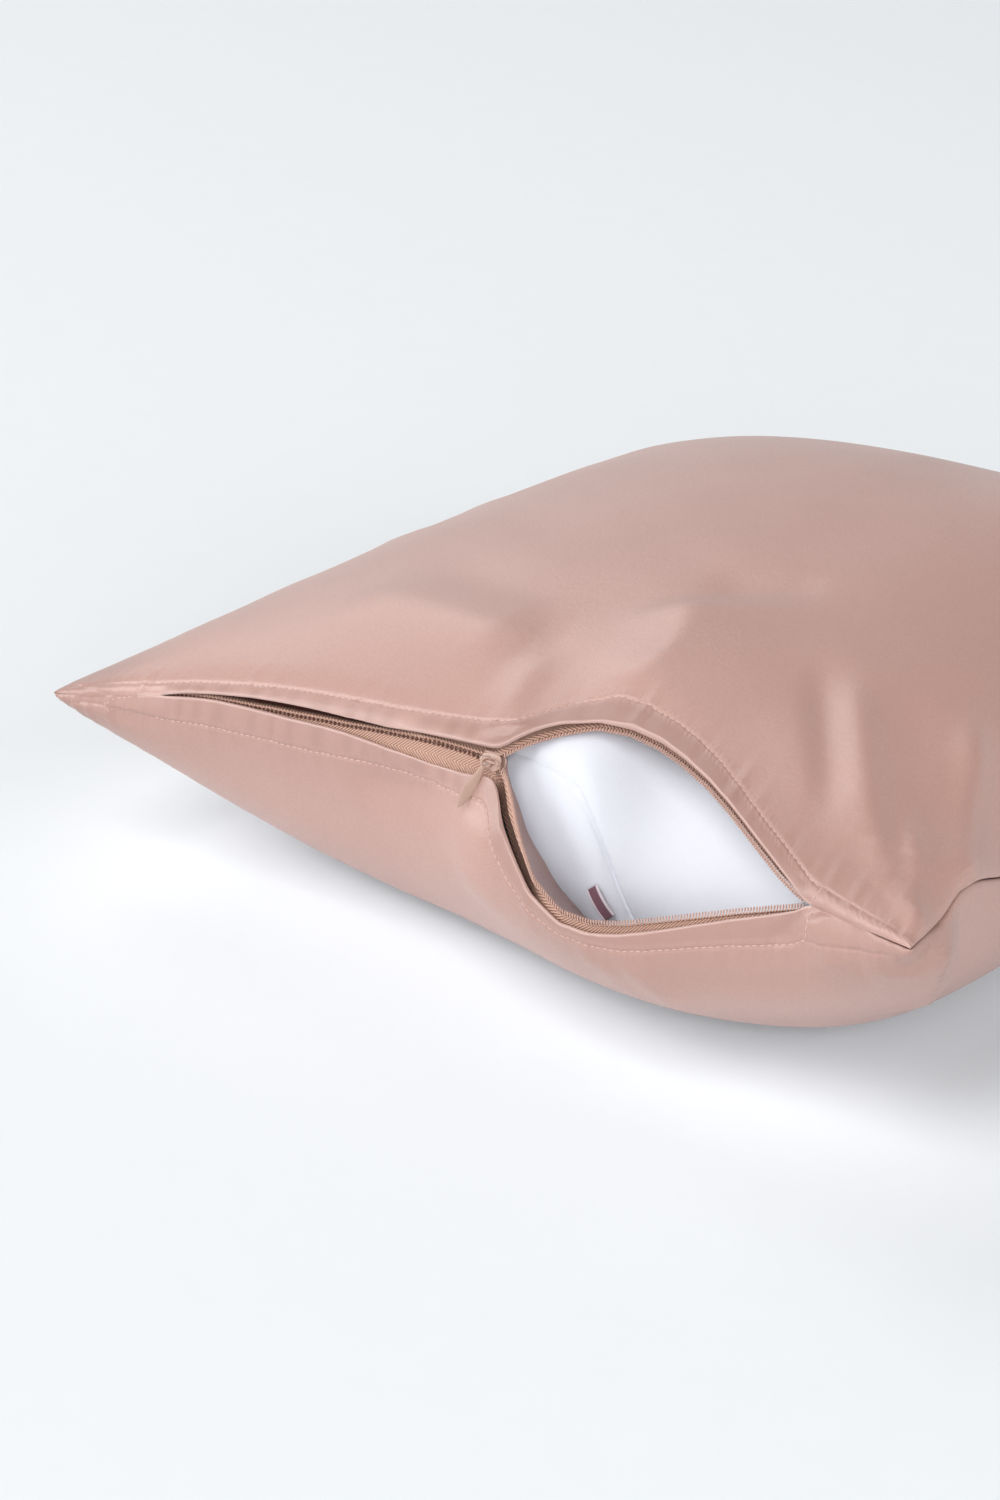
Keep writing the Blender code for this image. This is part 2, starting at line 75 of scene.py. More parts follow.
# Zip: across, then lengths in mm from the seam line of the top panel's folded edge, the upper and
# lower coils, and the bottom panel's folded edge
ZIP_EDGE = (
    # across  top   upper   lower    low
    (-1.000, 0.0, 0.2, -0.2, 0.0),
    (-0.740, 0.0, 0.2, -0.2, 0.0),
    (-0.700, 0.4, -0.2, -0.5, 0.0),
    (-0.660, 0.9, -0.5, -0.8, -0.1),
    (-0.600, 1.0, -1.2, -1.5, -0.6),
    (-0.500, 1.0, -2.9, -3.2, -2.8),
    (-0.400, 0.6, -3.8, -4.1, -4.9),
    (-0.280, 0.1, -3.6, -3.9, -5.9),
    (-0.170, 0.3, -2.0, -2.3, -7.7),
    (-0.060, 2.3, -0.2, -0.5, -8.6),
    (0.020, 3.9, 0.4, 0.1, -7.4),
    (0.061, 4.8, 0.9, -0.7, -6.0),
    (0.075, 5.3, 1.8, -0.8, -5.4),
    (0.090, 7.8, 4.6, -1.4, -6.2),
    (0.105, 12.3, 8.6, -3.4, -9.6),
    (0.133, 19.2, 15.4, -11.1, -20.0),
    (0.165, 25.0, 21.8, -20.4, -27.4),
    (0.230, 32.2, 30.6, -37.0, -41.8),
    (0.300, 34.9, 33.7, -44.6, -48.4),
    (0.370, 34.4, 33.0, -43.2, -46.8),
    (0.430, 31.8, 30.4, -38.1, -41.6),
    (0.500, 27.2, 25.9, -30.3, -33.6),
    (0.570, 21.0, 19.6, -22.3, -25.0),
    (0.640, 13.8, 12.3, -14.6, -16.7),
    (0.710, 6.8, 5.2, -7.6, -9.2),
    (0.760, 1.9, 1.2, -2.9, -3.9),
    (0.780, 0.1, 0.3, -0.6, -0.4),
    (0.800, 0.0, 0.2, -0.2, 0.0),
    (1.000, 0.0, 0.2, -0.2, 0.0),
)
# Across, then how far in mm the topstitching stands back from each folded edge
STITCH_BACK = (
    # across  top   low
    (-1.00, 3.0, 2.5),
    (-0.90, 4.0, 3.4),
    (-0.72, 5.0, 10.8),
    (-0.55, 4.8, 12.6),
    (-0.33, 6.6, 12.0),
    (-0.10, 8.1, 7.6),
    (0.06, 10.8, 9.0),
    (0.16, 12.6, 12.0),
    (0.24, 13.2, 7.6),
    (0.34, 10.8, 5.0),
    (0.46, 10.6, 7.4),
    (0.60, 8.4, 9.6),
    (0.70, 8.3, 11.6),
    (0.78, 7.6, 13.0),
    (0.90, 5.0, 8.0),
    (1.00, 3.0, 2.5),
)
ZIP_ENDS = (-0.735, 0.775)
SLIDER_ACROSS = 0.068

HEM_HALF = 0.00072  # half the thickness of the turned hem
THIN = 0.0006  # thickness of a single cloth
SEAM_ROLL = 0.0026  # how far the cloth takes to roll over into a seam
LIP_ROLL = 0.0009


def unit(vectors):
    return vectors / (np.linalg.norm(vectors, axis=-1, keepdims=True) + 1e-12)


def ease(value, start, end):
    """0 before start and 1 after end, with a smooth rise between."""
    share = np.clip((value - start) / (end - start), 0, 1)
    return share * share * (3 - 2 * share)


def plateau(value, span):
    """1 between the two inner values of a span, falling smoothly to 0 at its outer ones."""
    return ease(value, span[0], span[1]) * ease(value, span[3], span[2])


def bell(value, width):
    """1 at zero, falling off as a Gaussian of the given width."""
    return np.exp(-((value / width) ** 2))


def smooth_min(a, b, width):
    """The smaller of two values, rounded where they cross."""
    mix = np.clip(0.5 + 0.5 * (b - a) / width, 0, 1)
    return b * (1 - mix) + a * mix - width * mix * (1 - mix)


def from_table(table, column, across, soft=0.007):
    """A column of a table, joined by straight lines that are then blurred a little."""
    rows = np.array(table)
    fine = np.linspace(-1, 1, 1601)
    kernel = bell(np.arange(-40, 41) * (fine[1] - fine[0]), soft)
    value = np.pad(np.interp(fine, rows[:, 0], rows[:, column]), 40, mode="edge")
    return np.interp(across, fine, np.convolve(value, kernel / kernel.sum(), "valid"))


def zip_length(name, across):
    """Signed length from the seam line of "top", "upper", "lower" or "low", in metres."""
    return from_table(ZIP_EDGE, ("top", "upper", "lower", "low").index(name) + 1, across) / 1000


def stitch_back(side, across):
    return from_table(STITCH_BACK, 1 if side == "top" else 2, across, 0.03) / 1000


def seam_height(across, along):
    """Height of the seam, eased from the zip end's line to the far end's."""
    corners = SEAM_LEFT + (SEAM_RIGHT - SEAM_LEFT) * (1 + across) / 2
    zip_end = corners + (SEAM_ZIP - corners) * np.clip(1 - across**2, 0, 1) ** SEAM_ZIP_POWER
    far_corners = SEAM_FAR_LEFT + (SEAM_FAR_RIGHT - SEAM_FAR_LEFT) * (1 + across) / 2
    far_end = far_corners + (SEAM_FAR_MIDDLE - far_corners) * (1 - np.abs(across) ** 3)
    back = ease(along, -1, 1)
    side = SIDE_HITCH * plateau(along, SIDE_HITCH_SPAN) - SIDE_SAG * plateau(along, SIDE_SAG_SPAN)
    return zip_end * (1 - back) + far_end * back + side * ease(across, SIDE_FROM, 1)


def outline(across, along):
    """Plan of the filled case, with sides drawn in between its corners."""
    x = HALF * across * (1 - DRAW_SIDES * (1 - np.abs(along) ** DRAW_POWER))
    y = HALF * along * (1 - DRAW_ENDS * (1 - np.abs(across) ** DRAW_POWER))
    return x, y + SET_BACK


def swell(across, along, power):
    """0 on the seam and 1 over the middle: a rounded rise from each side, multiplied together."""
    rise = np.clip(1 - np.abs(across) ** ROUNDNESS, 0, 1) * np.clip(1 - np.abs(along) ** ROUNDNESS, 0, 1)
    return rise**power


def crowned(across, along, power):
    """A swell whose highest place is shifted to the case's crown."""
    shifted = (across + CROWN_SHIFT[0] * (1 - across**2), along + CROWN_SHIFT[1] * (1 - along**2))
    return swell(*shifted, power)


def drop_and_belly(across, along, power):
    """How far the lower side has gone down to the surface, from 0 to 1, and where its front bulges."""
    drop = smooth_min(LOW_GAIN * swell(across, along, power), 1.0, LOW_BLEND)
    return drop, bell(across - FRONT_BELLY_AT, 0.35) * bell(along + 1, 0.5)


def top_inside(across, along):
    """Inside of the top panel: the seam's height plus a swell up to the crown."""
    x, y = outline(across, along)
    seam = seam_height(across, along)
    return np.stack([x, y, seam + SEAM_GAP / 2 + (CROWN - seam) * crowned(across, along, TOP_POWER)], -1)


def bottom_inside(across, along):
    """Inside of the bottom panel: down from the seam, out over its belly, and flat on the surface."""
    x, y = outline(across, along)
    drop, front = drop_and_belly(across, along, LOW_POWER)
    belly = 4 * drop * (1 - drop)
    x = x + BELLY * belly * across
    y = y + BELLY * belly * along - FRONT_BELLY * belly * front
    return np.stack([x, y, (seam_height(across, along) - SEAM_GAP / 2) * (1 - drop) + CLOTH * drop], -1)


def lines_back(surface, across, count=900):
    """The surface's lines from the zip end to the far end, one for each place across."""
    along = np.sin(math.pi / 2 * np.linspace(-1, 1, count))
    return surface(*np.meshgrid(across, along, indexing="ij"))


def reach_along(lines):
    """Length along each line up to each of its points."""
    steps = np.linalg.norm(np.diff(lines, axis=1), axis=-1)
    return np.concatenate([np.zeros((len(lines), 1)), np.cumsum(steps, axis=1)], axis=1)


def walk(lines, lengths):
    """Points at the given lengths along each line, between its own points: (m, n, 3), (m, k)."""
    reach = reach_along(lines)
    after = (reach[:, None, :] < lengths[:, :, None]).sum(-1).clip(1, lines.shape[1] - 1)
    start, end = (np.take_along_axis(reach, k, 1) for k in (after - 1, after))
    share = ((lengths - start) / (end - start))[..., None]
    low, high = (np.take_along_axis(lines, k[..., None], 1) for k in (after - 1, after))
    return low * (1 - share) + high * share


def front_points(across, lengths):
    """Points on the inside of the closed case's front, at signed lengths from its seam line."""
    short = lambda surface: lines_back(surface, across)[:, :420]
    upper = walk(short(top_inside), np.maximum(lengths, 0))
    lower = walk(short(bottom_inside), np.maximum(-lengths, 0))
    return np.where(lengths[..., None] >= 0, upper, lower)


def front_frame(across, lengths):
    """Those points, with the outward normal and the direction up the cloth at each."""
    points = front_points(across, lengths)
    up = unit(front_points(across, lengths + 0.0006) - front_points(across, lengths - 0.0006))
    side = np.gradient(points, axis=0)
    return points, unit(np.cross(side, up)), up


def grid_normals(grid, outward):
    return outward * unit(np.cross(np.gradient(grid, axis=0), np.gradient(grid, axis=1)))


def even_lengths(path):
    """Length along a path up to each of its points."""
    return reach_along(path[None, :, :3])[0]


def even_path(path, step):
    """A path, with whatever else its rows hold, read again at even steps along it."""
    reach = even_lengths(path)
    wanted = np.arange(step / 2, reach[-1], step)
    return np.stack([np.interp(wanted, reach, column) for column in path.T], -1)


# ---------------------------------------------------------------------------------------------
# Meshes
# ---------------------------------------------------------------------------------------------


def grid_quads(rows, columns, round_rows=False, round_columns=False):
    """Quads of a grid, which may close on itself along either axis, turned so that rows x columns
    point outwards."""
    number = np.arange(rows * columns).reshape(rows, columns)
    if round_rows:
        number = np.vstack([number, number[:1]])
    if round_columns:
        number = np.hstack([number, number[:, :1]])
    corners = [number[:-1, :-1], number[1:, :-1], number[1:, 1:], number[:-1, 1:]]
    return np.stack([c.ravel() for c in corners], -1)


def add_mesh(name, points, quads, finish, maps=None):
    """A mesh of quads at the origin. maps gives UV maps, each with a pair of numbers per point."""
    mesh = bpy.data.meshes.new(name)
    mesh.vertices.add(len(points))
    mesh.vertices.foreach_set("co", np.asarray(points, np.float32).ravel())
    mesh.loops.add(quads.size)
    mesh.loops.foreach_set("vertex_index", quads.astype(np.int32).ravel())
    mesh.polygons.add(len(quads))
    mesh.polygons.foreach_set("loop_start", np.arange(0, quads.size, 4, dtype=np.int32))
    mesh.update(calc_edges=True)
    for label, pairs in (maps or {}).items():
        layer = mesh.uv_layers.new(name=label)
        layer.uv.foreach_set("vector", np.asarray(pairs, np.float32)[quads.ravel()].ravel())
    mesh.materials.append(finish)
    mesh.polygons.foreach_set("use_smooth", np.full(len(quads), True))
    made = bpy.data.objects.new(name, mesh)
    bpy.context.scene.collection.objects.link(made)
    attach(made, "root")
    return made


def sheet_quads(rows, columns):
    """Quads of a closed sheet: its face, its back turned over, and the rim that joins them."""
    face = grid_quads(rows, columns)
    back = face[:, ::-1] + rows * columns
    number = np.arange(rows * columns).reshape(rows, columns)
    rim = np.concatenate([number[:-1, 0], number[-1, :-1], number[:0:-1, -1], number[0, :0:-1]])
    after = np.roll(rim, -1)
    edge = np.stack([after, rim, rim + rows * columns, after + rows * columns], -1)
    return np.concatenate([face, back, edge])


def add_sheet(name, face, back, finish, maps=None, flip=False):
    """A closed sheet between two grids of points of the same size."""
    quads = sheet_quads(*face.shape[:2])
    both = {label: np.concatenate([pairs.reshape(-1, 2)] * 2) for label, pairs in (maps or {}).items()}
    points = np.concatenate([face.reshape(-1, 3), back.reshape(-1, 3)])
    return add_mesh(name, points, quads[:, ::-1] if flip else quads, finish, both)


def pill(around=6, rings=5):
    """A small capsule on X, 1 long and 1 thick: rings that shrink to its ends as an ellipse."""
    turn = np.linspace(0, 2 * math.pi, around, endpoint=False)
    at = np.linspace(-1, 1, rings) * 0.98
    size = np.sqrt(1 - np.abs(at) ** 3)
    ring = np.stack([np.zeros(around), np.cos(turn), np.sin(turn)], -1) / 2
    points = ring[None] * size[:, None, None]
    points[..., 0] += at[:, None] / 2
    body = grid_quads(rings, around, round_columns=True)
    first = np.array([[0, 1, 2, 3], [0, 3, 4, 5]])
    last = first[:, ::-1] + (rings - 1) * around
    return points.reshape(-1, 3), np.concatenate([body[:, ::-1], first[:, ::-1], last[:, ::-1]])


def copies(shape, places, ahead, side, out, size):
    """Copies of a shape, each turned to its own three directions: all points and all quads."""
    points, quads = shape
    scaled = points * size
    turned = (
        places[:, None]
        + scaled[None, :, :1] * ahead[:, None]
        + scaled[None, :, 1:2] * side[:, None]
        + scaled[None, :, 2:] * out[:, None]
    )
    numbers = quads[None] + (np.arange(len(places)) * len(points))[:, None, None]
    return turned.reshape(-1, 3), numbers.reshape(-1, 4)


def tube(path, radius, around, closed=False):
    """A round profile carried along a path: each ring stands square to the path there."""
    ahead = np.roll(path, -1, axis=0) - np.roll(path, 1, axis=0) if closed else np.gradient(path, axis=0)
    ahead = unit(ahead)
    side = unit(np.cross(ahead, unit(np.array([0.31, 0.23, 0.92]))))
    out = np.cross(side, ahead)
    turn = np.linspace(0, 2 * math.pi, around, endpoint=False)[None, :, None]
    rings = path[:, None] + radius * (side[:, None] * np.cos(turn) + out[:, None] * np.sin(turn))
    quads = grid_quads(len(path), around, round_rows=closed, round_columns=True)[:, ::-1]
    points = rings.reshape(-1, 3)
    if not closed:
        first, last = np.arange(around), np.arange(around) + (len(path) - 1) * around
        quads = np.concatenate([quads, fan(first, len(points)), fan(last[::-1], len(points) + 1)])
        points = np.concatenate([points, path[:1], path[-1:]])
    return points, quads


def fan(rim, middle):
    """Quads from a middle point to an even ring of points, two sides of the ring at a time."""
    ring = [np.roll(rim, -step)[::2] for step in range(3)]
    return np.stack([*ring, np.full(len(rim) // 2, middle)], -1)


# ---------------------------------------------------------------------------------------------
# Finishes
# ---------------------------------------------------------------------------------------------


def colour(red, green, blue):
    """A colour given as 0 to 255 on screen, in the linear values that shaders take."""
    values = np.array([red, green, blue]) / 255
    linear = np.where(values <= 0.04045, values / 12.92, ((values + 0.055) / 1.055) ** 2.4)
    return (*map(float, linear), 1.0)


class Nodes:
    """Short ways to add and join nodes in a material's or a group's tree."""

    def __init__(self, tree):
        self.tree = tree

    def add(self, kind, settings=None, **inputs):
        node = self.tree.nodes.new(kind)
        for key, value in (settings or {}).items():
            setattr(node, key, value)
        for key, value in inputs.items():
            self.put(node.inputs[key.replace("_", " ")], value)
        return node

    def put(self, socket, value):
        if isinstance(value, bpy.types.NodeSocket):
            self.tree.links.new(value, socket)
        else:
            socket.default_value = value

    def maths(self, operation, *values):
        node = self.tree.nodes.new("ShaderNodeMath")
        node.operation = operation
        for socket, value in zip(node.inputs, values):
            self.put(socket, value)
        return node.outputs[0]

    def times(self, first, second):
        return self.maths("MULTIPLY", first, second)

    def plus(self, first, second):
        return self.maths("ADD", first, second)

    def minus(self, first, second):
        return self.maths("SUBTRACT", first, second)

    def parts(self, vector):
        return self.add("ShaderNodeSeparateXYZ", Vector=vector).outputs

    def blend(self, share, first, second):
        node = self.tree.nodes.new("ShaderNodeMix")
        node.data_type = "RGBA"
        for number, value in ((0, share), (6, first), (7, second)):
            self.put(node.inputs[number], value)
        return node.outputs[2]

    def noise(self, where, scale, detail=2.0, rough=0.5):
        node = self.add("ShaderNodeTexNoise", Vector=where, Scale=scale, Detail=detail, Roughness=rough)
        return node.outputs["Fac"]

    def spread(self, value, low, high, to_low=0.0, to_high=1.0):
        node = self.add("ShaderNodeMapRange", {"interpolation_type": "SMOOTHSTEP"})
        for number, given in enumerate((value, low, high, to_low, to_high)):
            self.put(node.inputs[number], given)
        return node.outputs[0]

    def scaled(self, where, scale):
        node = self.tree.nodes.new("ShaderNodeMapping")
        self.put(node.inputs["Vector"], where)
        node.inputs["Scale"].default_value = scale
        return node.outputs[0]

    def bump(self, height, distance, strength=1.0, normal=None):
        node = self.add("ShaderNodeBump", Height=height, Distance=distance, Strength=strength)
        if normal is not None:
            self.put(node.inputs["Normal"], normal)
        return node.outputs[0]


def new_group(name, inputs, outputs):
    """An empty node group with named sockets: its Nodes, its inputs and its output node."""
    tree = bpy.data.node_groups.new(name, "ShaderNodeTree")
    for label, kind, start in inputs:
        socket = tree.interface.new_socket(name=label, in_out="INPUT", socket_type=f"NodeSocket{kind}")
        if start is not None:
            socket.default_value = start
    for label, kind in outputs:
        tree.interface.new_socket(name=label, in_out="OUTPUT", socket_type=f"NodeSocket{kind}")
    nodes = Nodes(tree)
    given = tree.nodes.new("NodeGroupInput").outputs
    return nodes, given, tree.nodes.new("NodeGroupOutput").inputs


def place_group(nodes, tree, **inputs):
    node = nodes.tree.nodes.new("ShaderNodeGroup")
    node.node_tree = tree
    for key, value in inputs.items():
        nodes.put(node.inputs[key.replace("_", " ")], value)
    return node.outputs


def make_weave_group():
    """Woven threads on a UV map in metres. Crosswise threads lie in rows one thread apart, and each
    passes under after a run of `Float` threads, a step further along in every row."""
    nodes, given, out = new_group(
        "weave",
        [
            ("Vector", "Vector", None),
            ("Thread", "Float", 0.0004),
            ("Float", "Float", 5.0),
            ("Step", "Float", 2.0),
        ],
        [("Height", "Float"), ("Mask", "Float")],
    )
    where = nodes.parts(given["Vector"])
    rows = nodes.maths("DIVIDE", where[0], given["Thread"])
    row = nodes.maths("FLOOR", rows)
    bulge = nodes.maths("SINE", nodes.times(nodes.maths("FRACT", rows), math.pi))
    run = nodes.maths("DIVIDE", where[1], nodes.times(given["Thread"], given["Float"]))
    shift = nodes.maths("DIVIDE", nodes.times(row, given["Step"]), given["Float"])
    place = nodes.maths("FRACT", nodes.plus(run, shift))
    over = nodes.spread(nodes.maths("ABSOLUTE", nodes.minus(place, 0.5)), 0.5, 0.3)
    nodes.put(out["Height"], nodes.times(bulge, over))
    nodes.put(out["Mask"], over)
    return nodes.tree


def make_tone_group():
    """Uneven dye: a colour made a little lighter and darker in soft patches, with a fine fleck."""
    nodes, given, out = new_group(
        "uneven tone",
        [
            ("Vector", "Vector", None),
            ("Color", "Color", None),
            ("Patch", "Float", 14.0),
            ("Amount", "Float", 0.05),
        ],
        [("Color", "Color"), ("Value", "Float")],
    )
    patches = nodes.noise(given["Vector"], given["Patch"], 3.0)
    fleck = nodes.spread(nodes.noise(given["Vector"], 900.0, 1.0), 0.32, 0.68)
    value = nodes.plus(nodes.times(patches, 0.75), nodes.times(fleck, 0.25))
    change = nodes.times(nodes.minus(value, 0.5), nodes.times(given["Amount"], 4.0))
    shade = nodes.add("ShaderNodeHueSaturation", Value=nodes.plus(change, 1.0), Color=given["Color"])
    nodes.put(out["Color"], shade.outputs[0])
    nodes.put(out["Value"], value)
    return nodes.tree


def new_finish(name, **settings):
    """A material with a Principled shader whose constant values are set on its own sockets."""
    made = bpy.data.materials.new(name)
    made.use_nodes = True
    nodes = Nodes(made.node_tree)
    shader = made.node_tree.nodes["Principled BSDF"]
    for key, value in settings.items():
        shader.inputs[key.replace("_", " ")].default_value = value
    return made, nodes, shader.inputs


def uv_map(nodes, name):
    return nodes.add("ShaderNodeUVMap", {"uv_map": name}).outputs[0]


def object_place(nodes):
    return nodes.tree.nodes.new("ShaderNodeTexCoord").outputs["Object"]


def make_stitch_group():
    """Cloth drawn down round a row of stitches, on a map of lengths along and beside the row. Each
    stitch sinks a narrow dent, and short puckers stand square to the row between the dents."""
    nodes, given, out = new_group(
        "stitch dents",
        [("Vector", "Vector", None), ("Pitch", "Float", 0.003), ("Reach", "Float", 0.005)],
        [("Height", "Float"), ("Mask", "Float")],
    )
    where = nodes.parts(given["Vector"])
    uneven = nodes.noise(nodes.scaled(given["Vector"], (90.0, 0.0, 0.0)), 1.0, 1.0)
    along = nodes.plus(nodes.maths("DIVIDE", where[0], given["Pitch"]), nodes.times(uneven, 2.4))
    wave = nodes.maths("COSINE", nodes.times(along, 2 * math.pi))
    aside = nodes.maths("ABSOLUTE", where[1])
    dent = nodes.spread(aside, nodes.times(given["Reach"], 0.22), 0.0)
    pucker = nodes.spread(aside, given["Reach"], nodes.times(given["Reach"], 0.12))
    rise = nodes.times(nodes.times(wave, 0.5), pucker)
    nodes.put(out["Height"], nodes.minus(rise, nodes.times(dent, 0.8)))
    nodes.put(out["Mask"], dent)
    return nodes.tree


def make_sateen(name, base, deep, weave, tone, stitches):
    """Smooth satin weave: long floats in a fine bump, a broad gloss, cloth drawn down along the
    topstitching, a painted highlight that pales the folded edges, and painted shade along the hems,
    in the corners and in the stitch dents. The light that it casts on what is round it is kept pale
    and nearly colourless."""
    made, nodes, shader = new_finish(
        name, Roughness=0.36, IOR=1.5, Specular_IOR_Level=0.8
    )
    place = object_place(nodes)
    cloth = uv_map(nodes, "cloth")
    painted_shade, edge = nodes.parts(uv_map(nodes, "hem"))[:2]
    threads = place_group(nodes, weave, Vector=cloth, Thread=0.00035, Float=5.0, Step=2.0)
    dyed = place_group(nodes, tone, Vector=place, Color=base, Patch=11.0, Amount=0.05)
    dents = place_group(nodes, stitches, Vector=uv_map(nodes, "stitch"), Pitch=0.0031, Reach=0.0052)
    shade = nodes.times(nodes.minus(1.0, threads["Mask"]), 0.22)
    # Painted shade: the stitch dents darkened a little, on top of the weave's darker gaps.
    shade = nodes.maths("MAXIMUM", shade, nodes.times(dents["Mask"], 0.12))
    body = nodes.blend(shade, dyed["Color"], deep)
    # Painted shade: cloth darkened along the hems and corners by the first value of the hem map.
    body = nodes.blend(nodes.times(painted_shade, 0.72), body, deep)
    # Painted highlight: the cloth pales towards its folded edges.
    fold = nodes.spread(edge, 0.0013, 0.0004, 0.0, 0.30)
    cast = nodes.times(nodes.add("ShaderNodeLightPath").outputs["Is Diffuse Ray"], 0.85)
    seen = nodes.blend(fold, body, colour(232, 203, 194))
    nodes.put(shader["Base Color"], nodes.blend(cast, seen, (0.66, 0.63, 0.65, 1)))
    nodes.put(shader["Roughness"], nodes.spread(dyed["Value"], 0.3, 0.7, 0.40, 0.34))
    grain = nodes.bump(threads["Height"], 0.00003, 0.7)
    drawn = nodes.bump(dents["Height"], 0.00016, 0.6, grain)
    uneven = nodes.bump(nodes.noise(place, 150.0, 3.0), 0.0003, 0.25, drawn)
    nodes.put(shader["Normal"], nodes.bump(nodes.noise(place, 620.0, 3.0), 0.00016, 0.6, uneven))
    return made


def make_herringbone(name, base, dark, tone):
    """Zip tape: ridges that slant one way and then the other in narrow bands, with a sewn edge, and painted
    shade in the recess behind the lips.
    """
    made, nodes, shader = new_finish(name, Roughness=0.7, Specular_IOR_Level=0.12)
    where = nodes.parts(uv_map(nodes, "tape"))
    band = nodes.maths("PINGPONG", where[1], 0.0045)
    slant = nodes.plus(where[0], nodes.times(band, 1.2))
    ridge = nodes.maths("SINE", nodes.times(slant, 2 * math.pi / 0.0016))
    height = nodes.plus(nodes.times(ridge, 0.5), 0.5)
    dyed = place_group(nodes, tone, Vector=object_place(nodes), Color=base, Patch=30.0, Amount=0.05)
    woven = nodes.blend(nodes.times(nodes.minus(1.0, height), 0.9), dyed["Color"], dark)
    gaps = nodes.maths("SINE", nodes.times(where[0], 2 * math.pi / 0.0022))
    dots = nodes.spread(gaps, -0.7, 0.1, 0.35, 1.0)
    sewn = nodes.times(nodes.spread(where[1], 0.0009, 0.0004), dots)
    flat = nodes.blend(sewn, woven, colour(96, 60, 50))
    # Painted shade: the tape darkened towards a dark brown down in the recess behind the lips.
    pocket_and_painted_shade = nodes.parts(uv_map(nodes, "pocket_and_painted_shade"))[0]
    nodes.put(shader["Base Color"], nodes.blend(pocket_and_painted_shade, flat, colour(66, 34, 27)))
    nodes.put(shader["Normal"], nodes.bump(height, 0.0004, 1.0))
    return made


def make_white_cotton(name, weave, tone):
    """Plain close weave of the pillow inside, white, with the slightest cool unevenness."""
    made, nodes, shader = new_finish(name, Roughness=0.8, Sheen_Weight=0.2, Specular_IOR_Level=0.25)
    place = object_place(nodes)
    threads = place_group(nodes, weave, Vector=uv_map(nodes, "cloth"), Thread=0.0004, Float=2.0, Step=1.0)
    dyed = place_group(nodes, tone, Vector=place, Color=(0.70, 0.71, 0.765, 1), Patch=18.0, Amount=0.012)
    nodes.put(shader["Base Color"], dyed["Color"])
    grain = nodes.bump(threads["Height"], 0.00006, 0.6)
    nodes.put(shader["Normal"], nodes.bump(nodes.noise(place, 60.0, 3.0), 0.0008, 0.25, grain))
    return made


def make_thread(name, base, tone):
    """Polyester sewing thread: two plies twisted along the stitch, with a soft gloss."""
    made, nodes, shader = new_finish(name, Roughness=0.42, Sheen_Weight=0.1, Specular_IOR_Level=0.5)
    place = object_place(nodes)
    dyed = place_group(nodes, tone, Vector=place, Color=base, Patch=200.0, Amount=0.05)
    nodes.put(shader["Base Color"], dyed["Color"])
    twist = nodes.add("ShaderNodeTexWave", {"bands_direction": "DIAGONAL"}, Vector=place, Scale=900.0)
    nodes.put(shader["Normal"], nodes.bump(twist.outputs["Fac"], 0.00005, 0.5))
    return made


def make_nylon(name, base, tone):
    """Dyed nylon monofilament of the coils: smooth, with a thin clear gloss."""
    made, nodes, shader = new_finish(name, Roughness=0.3, Specular_IOR_Level=0.55, Coat_Weight=0.1)
    dyed = place_group(nodes, tone, Vector=object_place(nodes), Color=base, Patch=60.0, Amount=0.06)
    nodes.put(shader["Base Color"], dyed["Color"])
    nodes.put(shader["Normal"], nodes.bump(dyed["Value"], 0.00005, 0.3))
    return made


def make_painted_metal(name, base, tone):
    """Cast slider in cloth-coloured enamel: soft orange peel, and paint worn thin on raised edges."""
    made, nodes, shader = new_finish(name, Roughness=0.34, Specular_IOR_Level=0.6, Coat_Weight=0.35)
    shader["Coat Roughness"].default_value = 0.22
    place = object_place(nodes)
    dyed = place_group(nodes, tone, Vector=place, Color=base, Patch=120.0, Amount=0.05)
    worn = nodes.spread(nodes.add("ShaderNodeNewGeometry").outputs["Pointiness"], 0.53, 0.60, 0.0, 0.5)
    patchy = nodes.times(worn, nodes.spread(nodes.noise(place, 900.0), 0.45, 0.65))
    nodes.put(shader["Base Color"], nodes.blend(patchy, dyed["Color"], colour(214, 190, 176)))
    nodes.put(shader["Roughness"], nodes.spread(dyed["Value"], 0.3, 0.7, 0.40, 0.28))
    nodes.put(shader["Normal"], nodes.bump(nodes.noise(place, 700.0, 2.0), 0.00006, 0.35))
    return made


def make_loop_tape(name, tone):
    """Blank woven loop: dark mauve with a pale selvedge down both sides."""
    made, nodes, shader = new_finish(name, Roughness=0.6, Sheen_Weight=0.2, Specular_IOR_Level=0.3)
    place = uv_map(nodes, "tape")
    where = nodes.parts(place)
    mauve = colour(128, 88, 100)
    dyed = place_group(nodes, tone, Vector=object_place(nodes), Color=mauve, Patch=60.0, Amount=0.06)
    selvedge = nodes.spread(nodes.maths("ABSOLUTE", where[0]), 0.0021, 0.0025)
    nodes.put(shader["Base Color"], nodes.blend(selvedge, dyed["Color"], colour(226, 214, 220)))
    ribs = nodes.maths("SINE", nodes.times(where[1], 2 * math.pi / 0.0005))
    nodes.put(shader["Normal"], nodes.bump(ribs, 0.00008, 0.6))
    return made


def make_floor_finish(name):
    """Plain pale studio surface, with the faintest grain."""
    made, nodes, shader = new_finish(name, Roughness=0.85, Specular_IOR_Level=0.2)
    grain = nodes.noise(object_place(nodes), 40.0, 3.0)
    nodes.put(shader["Base Color"], nodes.blend(grain, (0.832, 0.852, 0.866, 1), (0.847, 0.867, 0.881, 1)))
    return made


